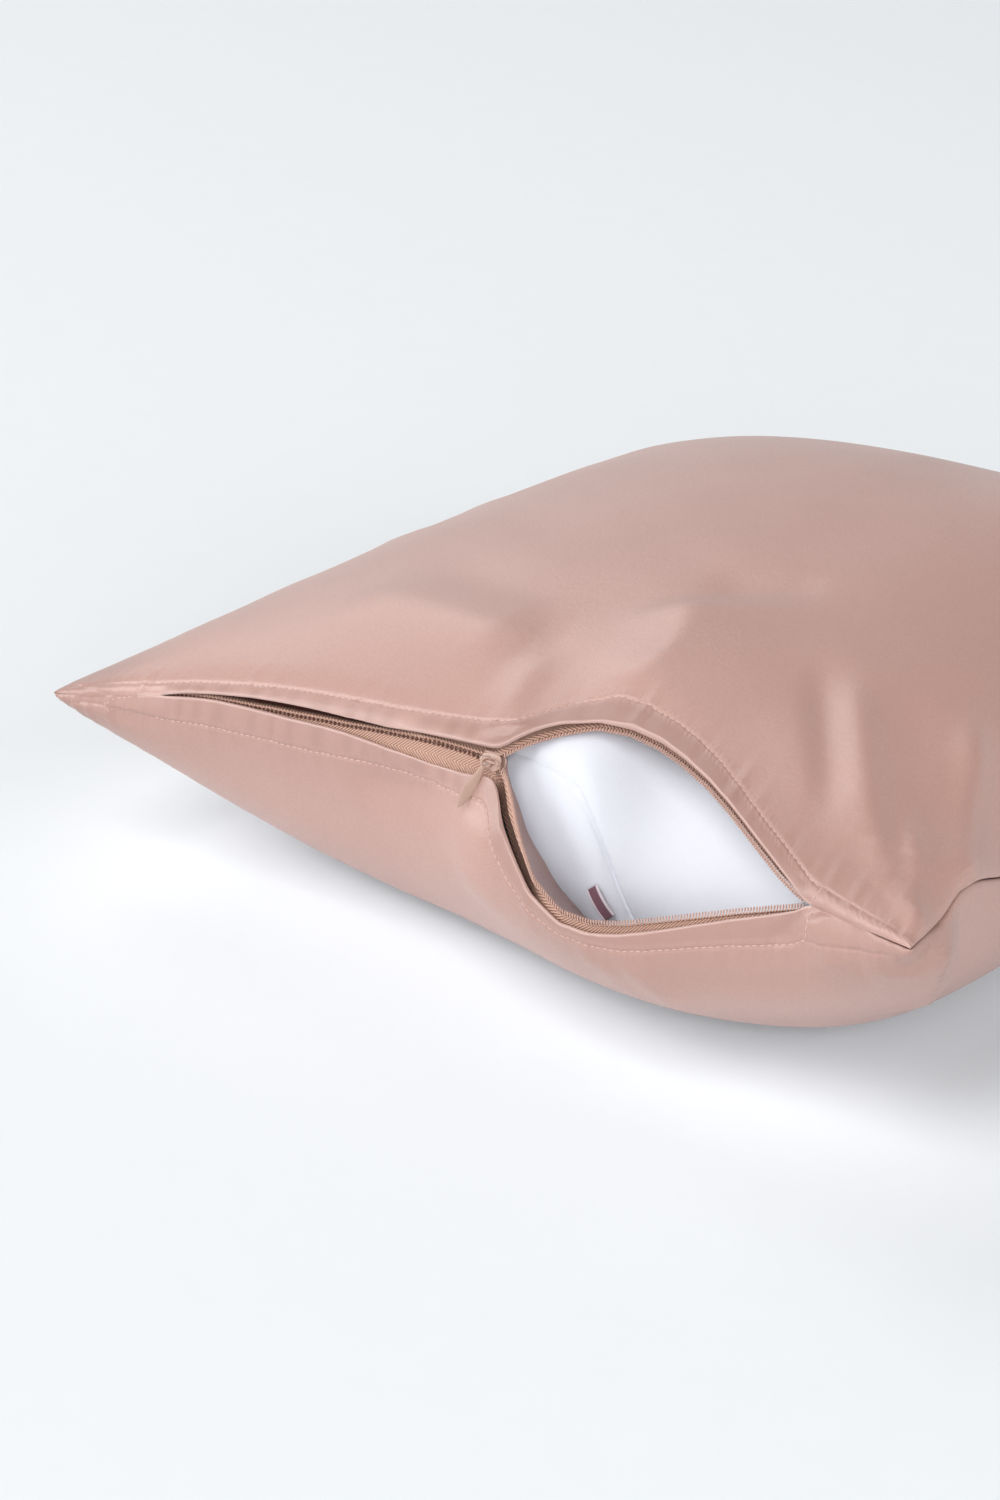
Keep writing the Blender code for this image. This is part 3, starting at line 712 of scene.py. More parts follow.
WEAVE = make_weave_group()
TONE = make_tone_group()
STITCHES = make_stitch_group()
ROSE = (0.489, 0.288, 0.243, 1.0)
# The darker colour serves the weave's gaps and the painted shade of hems, corners and stitch dents.
SATEEN = make_sateen("dusty rose sateen", ROSE, (0.34, 0.19, 0.155, 1.0), WEAVE, TONE, STITCHES)
HERRINGBONE = make_herringbone("herringbone zip tape", colour(216, 178, 160), colour(160, 118, 102), TONE)
COTTON = make_white_cotton("white pillow cotton", WEAVE, TONE)
THREAD = make_thread("rose sewing thread", colour(208, 172, 160), TONE)
NYLON = make_nylon("rose nylon coil", colour(200, 160, 144), TONE)
METAL = make_painted_metal("rose enamelled slider", colour(176, 142, 126), TONE)
LOOP = make_loop_tape("mauve loop tape", TONE)


# ---------------------------------------------------------------------------------------------
# Sateen panels
# ---------------------------------------------------------------------------------------------

COLUMNS = 262
# Folds in the cloth, each along a path on its surface, in mm. Looking along the path from outside,
# the fold falls away over one distance to its right and over another to its left. A negative height
# is a groove. crest is how round the fold is on top, and each end fades in over a share of the path.
TOP_FOLDS = (
    # path, right, left, height, crest, (start, end)
    (
        ((26, -86, 143), (37, -98, 142), (45, -113, 140), (50, -128, 137))
        + ((50, -141, 135), (44, -155, 132), (34, -168, 128)),
        26, 50, 6.5, 1.0, (0.2, 0.35),
    ),
    (((17, -190, 118), (9, -176, 125), (5, -160, 130), (8, -142, 135)), 10, 12, 2.2, 1.2, (0.05, 0.4)),
    (((-120, -138, 121), (-63, -145, 130), (-20, -148, 133), (4, -144, 135)), 30, 30, 5.4, 3.0, (0.35, 0.25)),
    (((28, -80, 144), (46, -63, 146), (74, -50, 147)), 13, 14, -1.3, 5.0, (0.3, 0.3)),
    (((95, -94, 141), (124, -130, 133), (144, -157, 126), (160, -180, 119)), 6, 15, -2.4, 2.5, (0.35, 0.3)),
    (((110, -94, 138), (139, -130, 131), (160, -157, 123), (176, -178, 115)), 11, 8, 3.0, 1.2, (0.35, 0.3)),
    (((157, -157, 124), (182, -180, 114), (214, -204, 103)), 4, 7, 2.6, 0.5, (0.4, 0.08)),
    (((172, -146, 120), (192, -172, 113), (211, -200, 104)), 4, 5, 2.6, 0.5, (0.4, 0.08)),
    (((128, -80, 136), (165, -130, 124), (198, -172, 110)), 12, 14, -1.8, 4.0, (0.35, 0.25)),
    (((155, -75, 130), (179, -112, 120), (200, -147, 112), (208, -163, 107)), 8, 9, 4.0, 1.2, (0.35, 0.05)),
    (((150, -204, 106), (176, -206, 105), (200, -208, 102), (214, -206, 101)), 7, 5, 0.8, 1.0, (0.3, 0.2)),
    (((161, -199, 109), (165, -203, 106), (169, -206, 102)), 2.4, 3, -0.8, 0.6, (0.3, 0.05)),
    (((-200, -60, 84), (-170, -50, 108), (-130, -45, 126)), 8, 12, 1.3, 2.0, (0.1, 0.4)),
    (((-196, 10, 84), (-165, 5, 112), (-130, -5, 130)), 10, 12, 1.2, 2.5, (0.1, 0.4)),
    (((-208, -205, 80), (-193, -207, 83), (-182, -207, 84)), 0.9, 4, 0.6, 0.3, (0.1, 0.1)),
)
LOW_FOLDS = (
    (((215, -192, 98), (210, -180, 78), (198, -164, 56), (184, -150, 38)), 22, 12, 6.5, 0.8, (0.1, 0.3)),
    (((92, -221, 66), (101, -215, 52), (107, -203, 38), (108, -186, 25)), 8, 14, 2.2, 1.5, (0.3, 0.3)),
    (((70, -226, 60), (84, -218, 46), (92, -206, 34), (95, -192, 25)), 8, 10, 1.6, 1.5, (0.3, 0.3)),
    (((-62, -200, 80), (-35, -202, 84), (-8, -204, 90), (8, -204, 96)), 16, 12, -3.2, 3.0, (0.35, 0.3)),
    (((8, -206, 93), (14, -210, 80), (14, -210, 62), (8, -204, 44)), 16, 18, 3.0, 4.0, (0.3, 0.4)),
    (((34, -212, 93), (27, -212, 84), (18, -213, 74)), 7, 4, 1.3, 0.8, (0.1, 0.5)),
    (((-150, -201, 68), (-90, -206, 58), (-40, -208, 48), (10, -206, 36)), 22, 22, -1.3, 6.0, (0.3, 0.3)),
    (((166, -206, 97), (161, -208, 89), (152, -211, 82)), 3, 5, -1.3, 0.8, (0.05, 0.4)),
    (((172, -206, 99), (177, -208, 92), (179, -209, 84), (180, -209, 76)), 9, 10, 2.2, 1.0, (0.1, 0.3)),
    (((-187, -208, 74), (-165, -206, 76), (-135, -204, 79)), 3, 3, -1.1, 0.5, (0.15, 0.5)),
    (
        ((-212, -211, 75), (-198, -210, 73), (-186, -209, 71), (-172, -208, 70)),
        2.6, 3.4, 1.1, 0.5, (0.02, 0.4),
    ),
    (((-206, -210, 77), (-196, -209, 78), (-184, -208, 79)), 3, 3, -0.8, 1.0, (0.3, 0.3)),
)
# Which way each hem's band leans, in mm, at its fold and at its stitching
BAND_LEAN = {"top": (1.2, -0.1), "low": (0.2, 0.3)}


def ripples(length, waves, phase):
    """Uneven little waves along a seam: sines of the given lengths, swelling and fading together."""
    total = sum(np.sin(2 * math.pi * length / wave + phase * (k + 1.7)) for k, wave in enumerate(waves))
    swelling = 0.65 + 0.35 * np.sin(2 * math.pi * length / (6.1 * waves[0]) + phase)
    return total / len(waves) * swelling


def soft_unevenness(points, waves, seed):
    """Slow, low waves in many directions, as unironed satin has: a sum of sines across space."""
    draw = np.random.default_rng(seed)
    total = np.zeros(points.shape[:-1])
    for wave in waves:
        direction = unit(draw.normal(size=3))
        total += np.sin(2 * math.pi * (points @ direction) / wave + draw.uniform(0, 6.3))
    return total / len(waves)


def averaged(line, passes=8):
    """A line with each inner value averaged with its neighbours, some times over."""
    for _ in range(passes):
        line[1:-1] = (line[:-2] + 2 * line[1:-1] + line[2:]) / 4
    return line


def smooth_path(points, count=90, passes=8):
    """A path through a few points: joined by straight lines, then averaged along to round its corners."""
    rows = np.array(points, float)
    reach = np.concatenate([[0], np.cumsum(np.linalg.norm(np.diff(rows, axis=0), axis=1))])
    line = np.stack([np.interp(np.linspace(0, reach[-1], count), reach, column) for column in rows.T], -1)
    return averaged(line, passes)


def fold_relief(points, normals, folds):
    """Height added by folds. From the nearest place on a fold's path, its height falls in a straight
    slope to nothing over its width on that side, with its crest and its foot rounded."""
    relief = np.zeros(points.shape[:-1])
    for path, right, left, height, crest, ends in folds:
        line = smooth_path(path) / 1000
        reach = 2 * max(right, left) / 1000
        near = np.all((points > line.min(0) - reach) & (points < line.max(0) + reach), axis=-1)
        gaps = points[near][:, None] - line
        closest = (gaps**2).sum(-1).argmin(1)
        gap = gaps[np.arange(len(gaps)), closest]
        beside = (gap * np.cross(unit(np.gradient(line, axis=0))[closest], normals[near])).sum(-1)
        width = np.where(beside > 0, right, left) / 1000
        share = (np.sqrt((gap**2).sum(-1) + (crest / 1000) ** 2) - crest / 1000) / width
        slope = (1 - share + np.sqrt((1 - share) ** 2 + 0.05)) / 2.02
        run = closest / (len(line) - 1)
        relief[near] += height / 1000 * slope * ease(run, -0.01, ends[0]) * ease(1 - run, -0.01, ends[1])
    return relief


def panel_rows(room, back):
    """Distances of a panel's rows from its folded edge: close together round the fold, across the
    topstitching and where the cloth rolls into the far seam."""
    fold = LIP_ROLL * (1 - np.cos(np.linspace(0, math.pi / 2, 6)))
    before = np.linspace(0, 1, 8)[1:-1]
    groove = np.linspace(-0.0012, 0.0012, 7)
    after = 0.0012 + 0.012 * np.linspace(0, 1, 7)[1:] ** 1.3
    ease_out = np.sin(math.pi / 2 * np.linspace(0, 1, 112)[1:]) ** 0.94
    first = np.broadcast_to(fold, (len(room), len(fold)))
    second = fold[-1] + (back[:, None] - 0.0012 - fold[-1]) * before
    third = back[:, None] + groove
    fourth = back[:, None] + after
    last = fourth[:, -1:] + (room[:, None] - fourth[:, -1:]) * ease_out
    return np.concatenate([first, second, third, fourth, last], axis=1)


def rolled(distance, roll):
    """1 away from an edge, falling to 0 at it along a quarter of an ellipse."""
    return np.sqrt(1 - (1 - np.clip(distance / roll, 0, 1)) ** 2)


def panel_surface(side):
    """A panel's face and back, its UV maps, and where its topstitching lies."""
    surface, outward = (top_inside, 1) if side == "top" else (bottom_inside, -1)
    across = np.sin(math.pi / 2 * np.linspace(-1, 1, COLUMNS))
    lines = lines_back(surface, across)
    start = np.abs(zip_length("top" if side == "top" else "low", across))
    room = reach_along(lines)[:, -1] - start
    back = stitch_back(side, across)
    distance = panel_rows(room, back)
    middle = walk(lines, start[:, None] + distance)
    normals = grid_normals(middle, outward)

    across_reach = reach_along(middle.transpose(1, 0, 2)).T
    from_sides = np.minimum(across_reach, across_reach[-1:] - across_reach)
    from_far = room[:, None] - distance
    left, right = ZIP_ENDS
    in_zip = (ease(across, left, left + 0.03) * ease(across, right + 0.015, right - 0.01))[:, None]
    sewn = (1 - in_zip) * ease(across, 0.94, 0.90)[:, None]
    corner = 1 - in_zip - sewn
    flush = ease(distance, -0.004, 0.007)
    zip_roll = rolled(distance, LIP_ROLL) * in_zip + flush * sewn + rolled(distance, SEAM_ROLL) * corner
    roll = zip_roll * rolled(from_sides, SEAM_ROLL) * rolled(from_far, SEAM_ROLL)

    hem = ease(distance, back[:, None] + 0.004, back[:, None] + 0.0015)
    edge_mid = in_zip * (CLOTH - HEM_HALF) * ease(distance, 0.006, 0.002)
    face = edge_mid + (CLOTH - edge_mid) * roll
    thick = hem * in_zip * (2 * HEM_HALF) + (1 - hem * in_zip) * THIN
    under = face - thick * roll - (1 - roll) * 0.00005

    along_zip = HALF * across[:, None] + 0 * distance
    groove = bell(distance - back[:, None], 0.0008) * ease(from_sides, 0.004, 0.012)
    hem_waves = ripples(along_zip, (0.0093, 0.0137, 0.0061), 1.3 if side == "top" else 4.1)
    share = np.clip(distance / back[:, None], 0, 3)
    at_fold, at_stitch = BAND_LEAN[side]
    closed = in_zip * (1 - 0.75 * ease(across, 0.02, 0.12))[:, None]
    band = at_fold * np.clip(1 - share, 0, 1) ** 1.5 + at_stitch * bell(share - 1, 0.8)
    hem_zone = bell(distance - back[:, None] * 0.9, 0.011)
    seam_zone = bell(from_sides, 0.009) + bell(from_far, 0.009) + bell(distance, 0.008) * (1 - in_zip)
    seam_run = np.where(from_sides < from_far, distance, along_zip)
    seam_waves = ripples(seam_run, (0.0112, 0.0079, 0.0173), 2.2)
    relief = (
        0.00018 * hem * in_zip
        + band / 1000 * closed
        - 0.00030 * groove
        + 0.00060 * hem_waves * hem_zone
        + 0.00034 * seam_waves * seam_zone * (1 if side == "top" else -0.7)
        + 0.00045 * soft_unevenness(middle, (0.041, 0.057, 0.083, 0.071, 0.049), 5 if side == "top" else 11)
        + fold_relief(middle, normals, TOP_FOLDS if side == "top" else LOW_FOLDS)
    )
    relief = relief * np.maximum(roll, sewn * ease(distance, 0, 0.001))
    if side == "low":
        relief = np.minimum(relief, np.maximum(middle[..., 2] - CLOTH, 0) * 0.5)
    # Painted shade: the doubled cloth of the hem is darkened, in ribs where the zip is closed. So is the
    # cloth strained by the zip's right end, gathered in the left corner, or turned down below the zip.
    drift = 1.6 * np.sin(2 * math.pi * along_zip / 0.047)
    ribs = 0.5 + 0.5 * np.sin(2 * math.pi * along_zip / 0.0125 + drift)
    ribs = ribs + (1 - ribs) * ease(across, 0.02, 0.10)[:, None]
    painted_shade = in_zip * ease(distance, back[:, None] + 0.001, back[:, None] - 0.004) * (0.45 + 0.55 * ribs)
    if side == "top":
        painted_shade = painted_shade * (1 - 0.8 * bell(across + 0.13, 0.035))[:, None]
        other = 0.75 * bell(across - 0.74, 0.20)[:, None] * ease(distance, 0.036, 0.010)
    else:
        other = 0.70 * ease(distance, 0.050, 0.002) * (1 - 0.75 * bell(across - 0.03, 0.10))[:, None]
    gathered = 0.8 * ease(across, -0.80, -0.92)[:, None] * ease(distance, 0.040, 0.015)
    painted_shade = np.maximum(np.maximum(painted_shade, other), gathered)
    # The hem map carries the painted shade, then the distance from the folded edge that sets the painted edge
    # highlight.
    maps = {
        "cloth": np.stack([along_zip, distance], -1),
        "hem": np.stack([painted_shade, distance + ease(np.abs(across), 0.79, 0.82)[:, None]], -1),
        "stitch": np.stack([across_reach, distance - back[:, None]], -1),
    }
    outside = middle + normals * (face + relief)[..., None]
    outside[..., 2] -= outward * 0.95 * SEAM_GAP / 2 * sewn * ease(distance, 0.0015, 0)
    followed = 1 - 0.6 * bell(distance - back[:, None], 0.0012)
    inside = middle + normals * (under + relief * followed)[..., None]
    return outside, inside, maps, {"across": across, "distance": distance, "face": outside, "back": back}


def make_panel(name, side, node):
    outside, inside, maps, panel = panel_surface(side)
    made = add_sheet(name, outside, inside, SATEEN, maps, flip=side == "low")
    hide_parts(node)
    return made, panel


def on_panel(panel, across, distance):
    """Points on a panel's face at places across and distances from its folded edge, read between its
    grid's points."""
    column = np.interp(across, panel["across"], np.arange(len(panel["across"])))
    share = (column % 1)[:, None]
    found = []
    for number in (np.floor(column).astype(int), np.ceil(column).astype(int)):
        rows = panel["distance"][number]
        after = (rows < distance[:, None]).sum(1).clip(1, rows.shape[1] - 1)
        each = np.arange(len(number))
        part = (distance - rows[each, after - 1]) / (rows[each, after] - rows[each, after - 1])
        low, high = panel["face"][number, after - 1], panel["face"][number, after]
        found.append(low + (high - low) * part[:, None])
    return found[0] * (1 - share) + found[1] * share


top_panel, TOP = make_panel("sateen_top_panel", "top", "case_top_panel")
low_panel, LOW = make_panel("sateen_bottom_panel", "low", "case_bottom_panel")


def stitch_run(points, normals, pitch, thread, sink=0.35):
    """Stitches end to end along a run: capsules a little shorter than the pitch, sunk in the cloth."""
    path = even_path(np.concatenate([points, normals], axis=1), pitch)
    places, out = path[:, :3], unit(path[:, 3:])
    ahead = unit(np.gradient(places, axis=0))
    out = unit(out - ahead * (ahead * out).sum(-1, keepdims=True))
    side = np.cross(out, ahead)
    size = (pitch * 0.78, thread, thread * 0.8)
    return copies(pill(), places + out * thread * (0.5 - sink), ahead, side, out, size)


def join(parts):
    """Several lists of points and quads as one."""
    counts = np.cumsum([0] + [len(points) for points, _ in parts[:-1]])
    return (
        np.concatenate([points for points, _ in parts]),
        np.concatenate([quads + count for (_, quads), count in zip(parts, counts)]),
    )


STITCH_PITCH = 0.0031
STITCH_THREAD = 0.00042
# Short rows of stitching at the ends of the zip: panel, then across and mm from the folded edge
END_STITCHES = (
    ("top", ((-0.752, 6.5), (-0.785, 3.0), (-0.80, 0.8))),
    ("low", ((-0.80, 0.8), (-0.842, 1.2), (-0.868, 4.6), (-0.852, 7.0))),
    ("low", ((0.792, 0.6), (0.790, 6.0), (0.786, 12.6))),
    ("top", ((0.802, 7.2), (0.797, 4.5), (0.789, 0.9))),
)


def panel_stitches(panel, across, distance):
    """A row of stitches on a panel, through places given as arrays."""
    points = on_panel(panel, across, distance)
    beside = on_panel(panel, across + 0.004, distance) - points
    back = on_panel(panel, across, distance + 0.0015) - points
    out = unit(np.cross(beside, back)) * (1 if panel is TOP else -1)
    return stitch_run(points, out, STITCH_PITCH, STITCH_THREAD)


def make_topstitching():
    """One row of stitches along each hem, and the short rows that close the hems at the zip's ends."""
    runs = []
    for panel, low, high in ((TOP, -0.752, 0.800), (LOW, -0.74, 0.786)):
        across = np.linspace(low, high, 600)
        runs.append(panel_stitches(panel, across, np.interp(across, panel["across"], panel["back"])))
    for side, places in END_STITCHES:
        across, distance = smooth_path(places, 40, 3).T
        runs.append(panel_stitches(TOP if side == "top" else LOW, across, distance / 1000))
    made = add_mesh("topstitching", *join(runs), THREAD)


make_topstitching()


# ---------------------------------------------------------------------------------------------
# Zip
# ---------------------------------------------------------------------------------------------

TAPE_WIDTH = 0.0118
TAPE_THICK = 0.0005
COIL_PITCH = 0.00127
COIL_WIRE = 0.00025
COIL_TURNS = 9  # points in a turn


def tape_depth(across, upper):
    """How far behind the panels' inside a tape lies, falling back where the mouth gapes."""
    gape = bell(across - 0.15, 0.06) if upper else bell(across - 0.13, 0.04)
    return 0.0009 + (0.0016 if upper else 0.0006) * gape


def make_tape(name, node, upper):
    """A woven ribbon behind the folded edge: a thin closed sheet from the coil back into the case,
    set deeper behind the lips in places."""
    across = np.linspace(-0.745, 0.785, 330)
    edge = zip_length("upper" if upper else "lower", across)
    edge = edge + (1 if upper else -1) * 0.0006 * ease(across, 0.08, 0.12)
    width = TAPE_WIDTH * np.linspace(0, 1, 26) ** 1.3
    lengths = edge[:, None] + (width if upper else -width[::-1])[None]
    points, normals, _ = front_frame(across, lengths)
    back = np.abs(lengths - edge[:, None])
    # Where the zip is closed the upper tape falls deeper behind the upper lip, and the same share paints
    # shade on it there.
    pocket_and_painted_shade = ease(across, 0.08, 0.05) * (0.45 + 0.55 * ease(across, -0.05, -0.20)) if upper else 0 * across
    pocket_and_painted_shade = pocket_and_painted_shade[:, None] * ease(back, 0.0011, 0.0021)
    if not upper:
        # On the lower tape, the strip next to the lower lip's edge falls deeper and is painted in shade.
        shown = edge - zip_length("low", across)
        beside = (ease(across, 0.075, 0.10) * ease(across, 0.27, 0.20))[:, None]
        pocket_and_painted_shade = 0.7 * beside * ease(back, shown[:, None] - 0.0042, shown[:, None] - 0.0020)
    depth = (tape_depth(across, upper)[:, None] + 0.0026 * pocket_and_painted_shade)[..., None]
    maps = {
        "tape": np.stack([np.broadcast_to((HALF * across)[:, None], lengths.shape), back], -1),
        "pocket_and_painted_shade": np.stack([pocket_and_painted_shade, 0 * pocket_and_painted_shade], -1),
    }
    face = points - normals * depth
    made = add_sheet(name, face, face - normals * TAPE_THICK, HERRINGBONE, maps)
    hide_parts(node)


def coil(across, name, offset, upper, half_turn, reach, behind):
    """A nylon coil along a tape's edge, as a thin round tube: a helix of flattened turns that goes
    ahead at the tape and out and back almost in one place, so that its turns stand out as teeth."""
    lengths = zip_length(name, across)[:, None] + offset
    points, normals, up = (given[:, 0] for given in front_frame(across, lengths))
    points = points - normals * (tape_depth(across, upper)[:, None] + behind)
    path = even_path(np.concatenate([points, normals, up], axis=1), COIL_PITCH / COIL_TURNS)
    turn = 2 * math.pi * np.arange(len(path))[:, None] / COIL_TURNS + half_turn
    middle, out, rise = path[:, :3], unit(path[:, 3:6]), unit(path[:, 6:])
    tip = -1 if upper else 1
    ahead = unit(np.gradient(middle, axis=0)) * COIL_PITCH / (2 * math.pi) * np.sin(turn) * -tip * 0.9
    helix = middle + ahead + rise * np.cos(turn) * reach + out * np.sin(turn) * 0.00042
    return tube(helix, COIL_WIRE, 6)


def make_coils():
    """The meshed chain left of the slider, and the two open coils right of it."""
    closed = np.linspace(-0.735, SLIDER_ACROSS - 0.02, 240)
    opened = np.linspace(SLIDER_ACROSS + 0.02, ZIP_ENDS[1] - 0.005, 300)
    meshed_upper = coil(closed, "upper", 0.0, True, 0.0, 0.00065, 0.0012)
    meshed_lower = coil(closed, "lower", 0.0, False, math.pi, 0.00065, 0.0012)
    chain = join([meshed_upper, meshed_lower])
    upper = coil(opened, "upper", -0.0003, True, 0.0, 0.00115, -0.0003)
    lower = coil(opened, "lower", 0.0003, False, 0.0, 0.00115, -0.0003)
    for name, node, shape in (
        ("closed_chain", "zip_chain_closed", chain),
        ("upper_coil", "zip_coil_upper", upper),
        ("lower_coil", "zip_coil_lower", lower),
    ):
        made = add_mesh(name, *shape, NYLON)
        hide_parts(node)


def slider_frame():
    """Middle of the slider on the seam line, with its directions along the zip, up and outwards."""
    near = SLIDER_ACROSS + np.array([-0.01, 0.0, 0.01])
    points = front_points(near, np.array([[-0.0038, 0.0, 0.0038]] * 3))
    ahead = unit(points[2, 1] - points[0, 1])
    outwards = unit(np.cross(ahead, points[1, 2] - points[1, 0]))
    return points[1, 1], ahead, np.cross(outwards, ahead), outwards


def in_slider(local):
    """Points given along the slider, up and outwards, in the case's own frame."""
    middle, ahead, up, outwards = slider_frame()
    return middle + local[..., :1] * ahead + local[..., 1:2] * up + local[..., 2:] * outwards


def rounded_plate(half_length, back_half, front_half, low, high, around=40, rings=13, at=0.0):
    """A plate with a pear-shaped outline and soft edges. Round the outline it goes by a superellipse
    whose half width grows from back to front, and over the edge by a squarer one."""
    turn = np.linspace(0, 2 * math.pi, around, endpoint=False)[:, None]
    over = np.linspace(-math.pi / 2, math.pi / 2, rings)[None]
    power = lambda wave, sharp: np.sign(wave) * np.abs(wave) ** sharp
    x = power(np.cos(turn), 0.75)
    half = back_half + (front_half - back_half) * (1 + x) / 2
    inward = np.maximum(np.abs(np.cos(over)), 1e-4) ** 0.28
    rise = power(np.sin(over), 0.6)
    along = at + half_length * x * inward
    beside = half * power(np.sin(turn), 0.75) * inward
    off = (low + high) / 2 + (high - low) / 2 * rise + 0 * x
    grid = np.stack([along, beside, off], -1)
    return in_slider(grid).reshape(-1, 3), grid_quads(around, rings, round_rows=True)


SLIDER_HALF_LENGTH, SLIDER_BACK_HALF, SLIDER_FRONT_HALF = 0.0049, 0.0029, 0.0040
BRIDGE_RISE = 0.0028
BRIDGE_THICK = 0.00070


def make_slider():
    """Outer and inner plates, the post between them, side flanges, and the bridge with its two feet."""
    plate = (SLIDER_HALF_LENGTH, SLIDER_BACK_HALF, SLIDER_FRONT_HALF)
    outer = rounded_plate(*plate, 0.0000, 0.0011)
    inner = rounded_plate(*plate, -0.0034, -0.0025)
    post = rounded_plate(0.0016, 0.0006, 0.0007, -0.0028, 0.0003, 16, 9)
    turn = np.linspace(0, math.pi, 25)
    bridge = np.stack([-0.0033 * np.cos(turn), 0 * turn, 0.0004 + BRIDGE_RISE * np.sin(turn) ** 0.8], -1)
    shapes = [outer, inner, post, tube(in_slider(bridge), BRIDGE_THICK, 12)]
    for end in (-0.0034, 0.0034):
        shapes.append(rounded_plate(0.0013, 0.0012, 0.0012, 0.0004, 0.0019, 20, 9, end))
    for side in (-1, 1):
        along, beside = np.linspace(-0.0042, 0.0040, 12), side * np.linspace(0.0029, 0.0038, 12)
        rail = np.stack([along, beside, np.full(12, -0.0002)], -1)
        shapes.append(tube(in_slider(rail), 0.00055, 10))
    made = add_mesh("enamelled_slider", *join(shapes), METAL)
    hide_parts("zip_slider")


# Puller: mm down from the middle of its eye, half width and half thickness
PULLER_LEAF = (
    (1.5, 1.05, 0.55),
    (3.0, 1.10, 0.62),
    (6.0, 1.50, 0.70),
    (9.0, 2.10, 0.74),
    (12.0, 2.60, 0.72),
    (14.5, 2.55, 0.66),
    (17.0, 2.10, 0.60),
    (19.4, 1.30, 0.52),
    (20.8, 0.65, 0.42),
    (21.4, 0.10, 0.08),
)


def make_puller():
    """A leaf of rounded section hanging from the bridge: its half width and thickness follow smooth
    lines down its length, and a flattened ring makes its eye."""
    _, ahead, _, outwards = slider_frame()
    down = unit(np.array([-0.32, -0.44, -0.86]))
    facing = outwards * math.cos(math.radians(55)) + ahead * math.sin(math.radians(55))
    facing = unit(facing - down * (facing @ down))
    wide = np.cross(down, facing)
    eye = in_slider(np.array([0.0, 0.0, 0.0004 + BRIDGE_RISE])) + down * 0.0006
    rows = np.array(PULLER_LEAF) / 1000
    run = 0.0015 + (rows[-1, 0] - 0.0015) * np.sin(math.pi / 2 * np.linspace(0, 1, 60))
    half, thick = (np.interp(run, rows[:, 0], rows[:, k]) for k in (1, 2))
    half = averaged(half)
    turn = np.linspace(0, 2 * math.pi, 28, endpoint=False)
    across = half[:, None] * np.cos(turn)
    out = thick[:, None] * np.sign(np.sin(turn)) * np.abs(np.sin(turn)) ** 0.75
    leaf = eye + run[:, None, None] * down + across[..., None] * wide + out[..., None] * facing
    rows_down, around = leaf.shape[:2]
    top_rim, foot_rim = np.arange(around)[::-1], np.arange(around) + (rows_down - 1) * around
    body = grid_quads(rows_down, around, round_columns=True)
    ends = [leaf[0].mean(0, keepdims=True), leaf[-1].mean(0, keepdims=True)]
    points = np.concatenate([leaf.reshape(-1, 3), *ends])
    quads = np.concatenate([body, fan(top_rim, len(points) - 2), fan(foot_rim, len(points) - 1)])
    ring_turn = np.linspace(0, 2 * math.pi, 36, endpoint=False)[:, None]
    ring = eye + 0.00185 * np.sin(ring_turn) * wide - 0.0020 * np.cos(ring_turn) * down
    made = add_mesh("enamelled_puller", *join([(points, quads), tube(ring, 0.00062, 12, closed=True)]), METAL)
    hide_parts("zip_puller")


make_tape("upper_tape", "zip_tape_upper", True)
make_tape("lower_tape", "zip_tape_lower", False)
make_coils()
make_slider()
make_puller()


# ---------------------------------------------------------------------------------------------
# Pillow inside
# ---------------------------------------------------------------------------------------------

PILLOW_SIDE_INSET, PILLOW_FRONT_INSET, PILLOW_BACK_INSET = 0.012, 0.013, 0.012
PILLOW_CROWN_INSET, PILLOW_FLOOR_INSET = 0.004, 0.004
PILLOW_TOP_POWER, PILLOW_LOW_POWER = 0.50, 0.50
PILLOW_DIP, PILLOW_DIP_AT, PILLOW_DIP_WIDTH, PILLOW_DIP_POWER = 0.060, 0.52, 0.226, 4
PILLOW_BELLY = 0.011
PILLOW_ROLL = 0.0035


def pillow_seam(across, along):
    """Height of the inner pillow's seam, which runs down slantwise where the case is open."""
    front = np.clip((1 - along) / 2, 0, 1) ** 3
    dip = np.exp(-(np.abs((across - PILLOW_DIP_AT) / PILLOW_DIP_WIDTH) ** PILLOW_DIP_POWER))
    return seam_height(across, along) - PILLOW_DIP * dip * front


def pillow_side(across, along, upper):
    """Upper or lower side of the filled pillow inside the case."""
    x, y = outline(across, along)
    x = x * (1 - PILLOW_SIDE_INSET / HALF)
    y = y - PILLOW_BACK_INSET * (1 + along) / 2 + PILLOW_FRONT_INSET * (1 - along) / 2
    seam = pillow_seam(across, along)
    if upper:
        z = seam + (CROWN - PILLOW_CROWN_INSET - seam) * crowned(across, along, PILLOW_TOP_POWER)
    else:
        drop, front = drop_and_belly(across, along, PILLOW_LOW_POWER)
        z = seam * (1 - drop) + (CLOTH + PILLOW_FLOOR_INSET) * drop
        y = y - PILLOW_BELLY * 4 * drop * (1 - drop) * front
    return np.stack([x, y, z], -1)


# Soft creases in the pillow's front, in mm, in the same form as the case's folds
PILLOW_FOLDS = (
    (((38, -194, 116), (48, -197, 100), (56, -198, 84)), 5, 7, 0.9, 1.0, (0.2, 0.4)),
    (((60, -195, 112), (66, -198, 96), (76, -199, 78), (88, -198, 66)), 8, 10, 0.9, 2.0, (0.2, 0.3)),
    (((96, -196, 110), (100, -199, 92), (104, -199, 74)), 10, 14, -0.8, 3.0, (0.3, 0.3)),
    (((128, -195, 108), (126, -198, 92), (122, -199, 78)), 9, 12, 0.7, 3.0, (0.3, 0.3)),
)


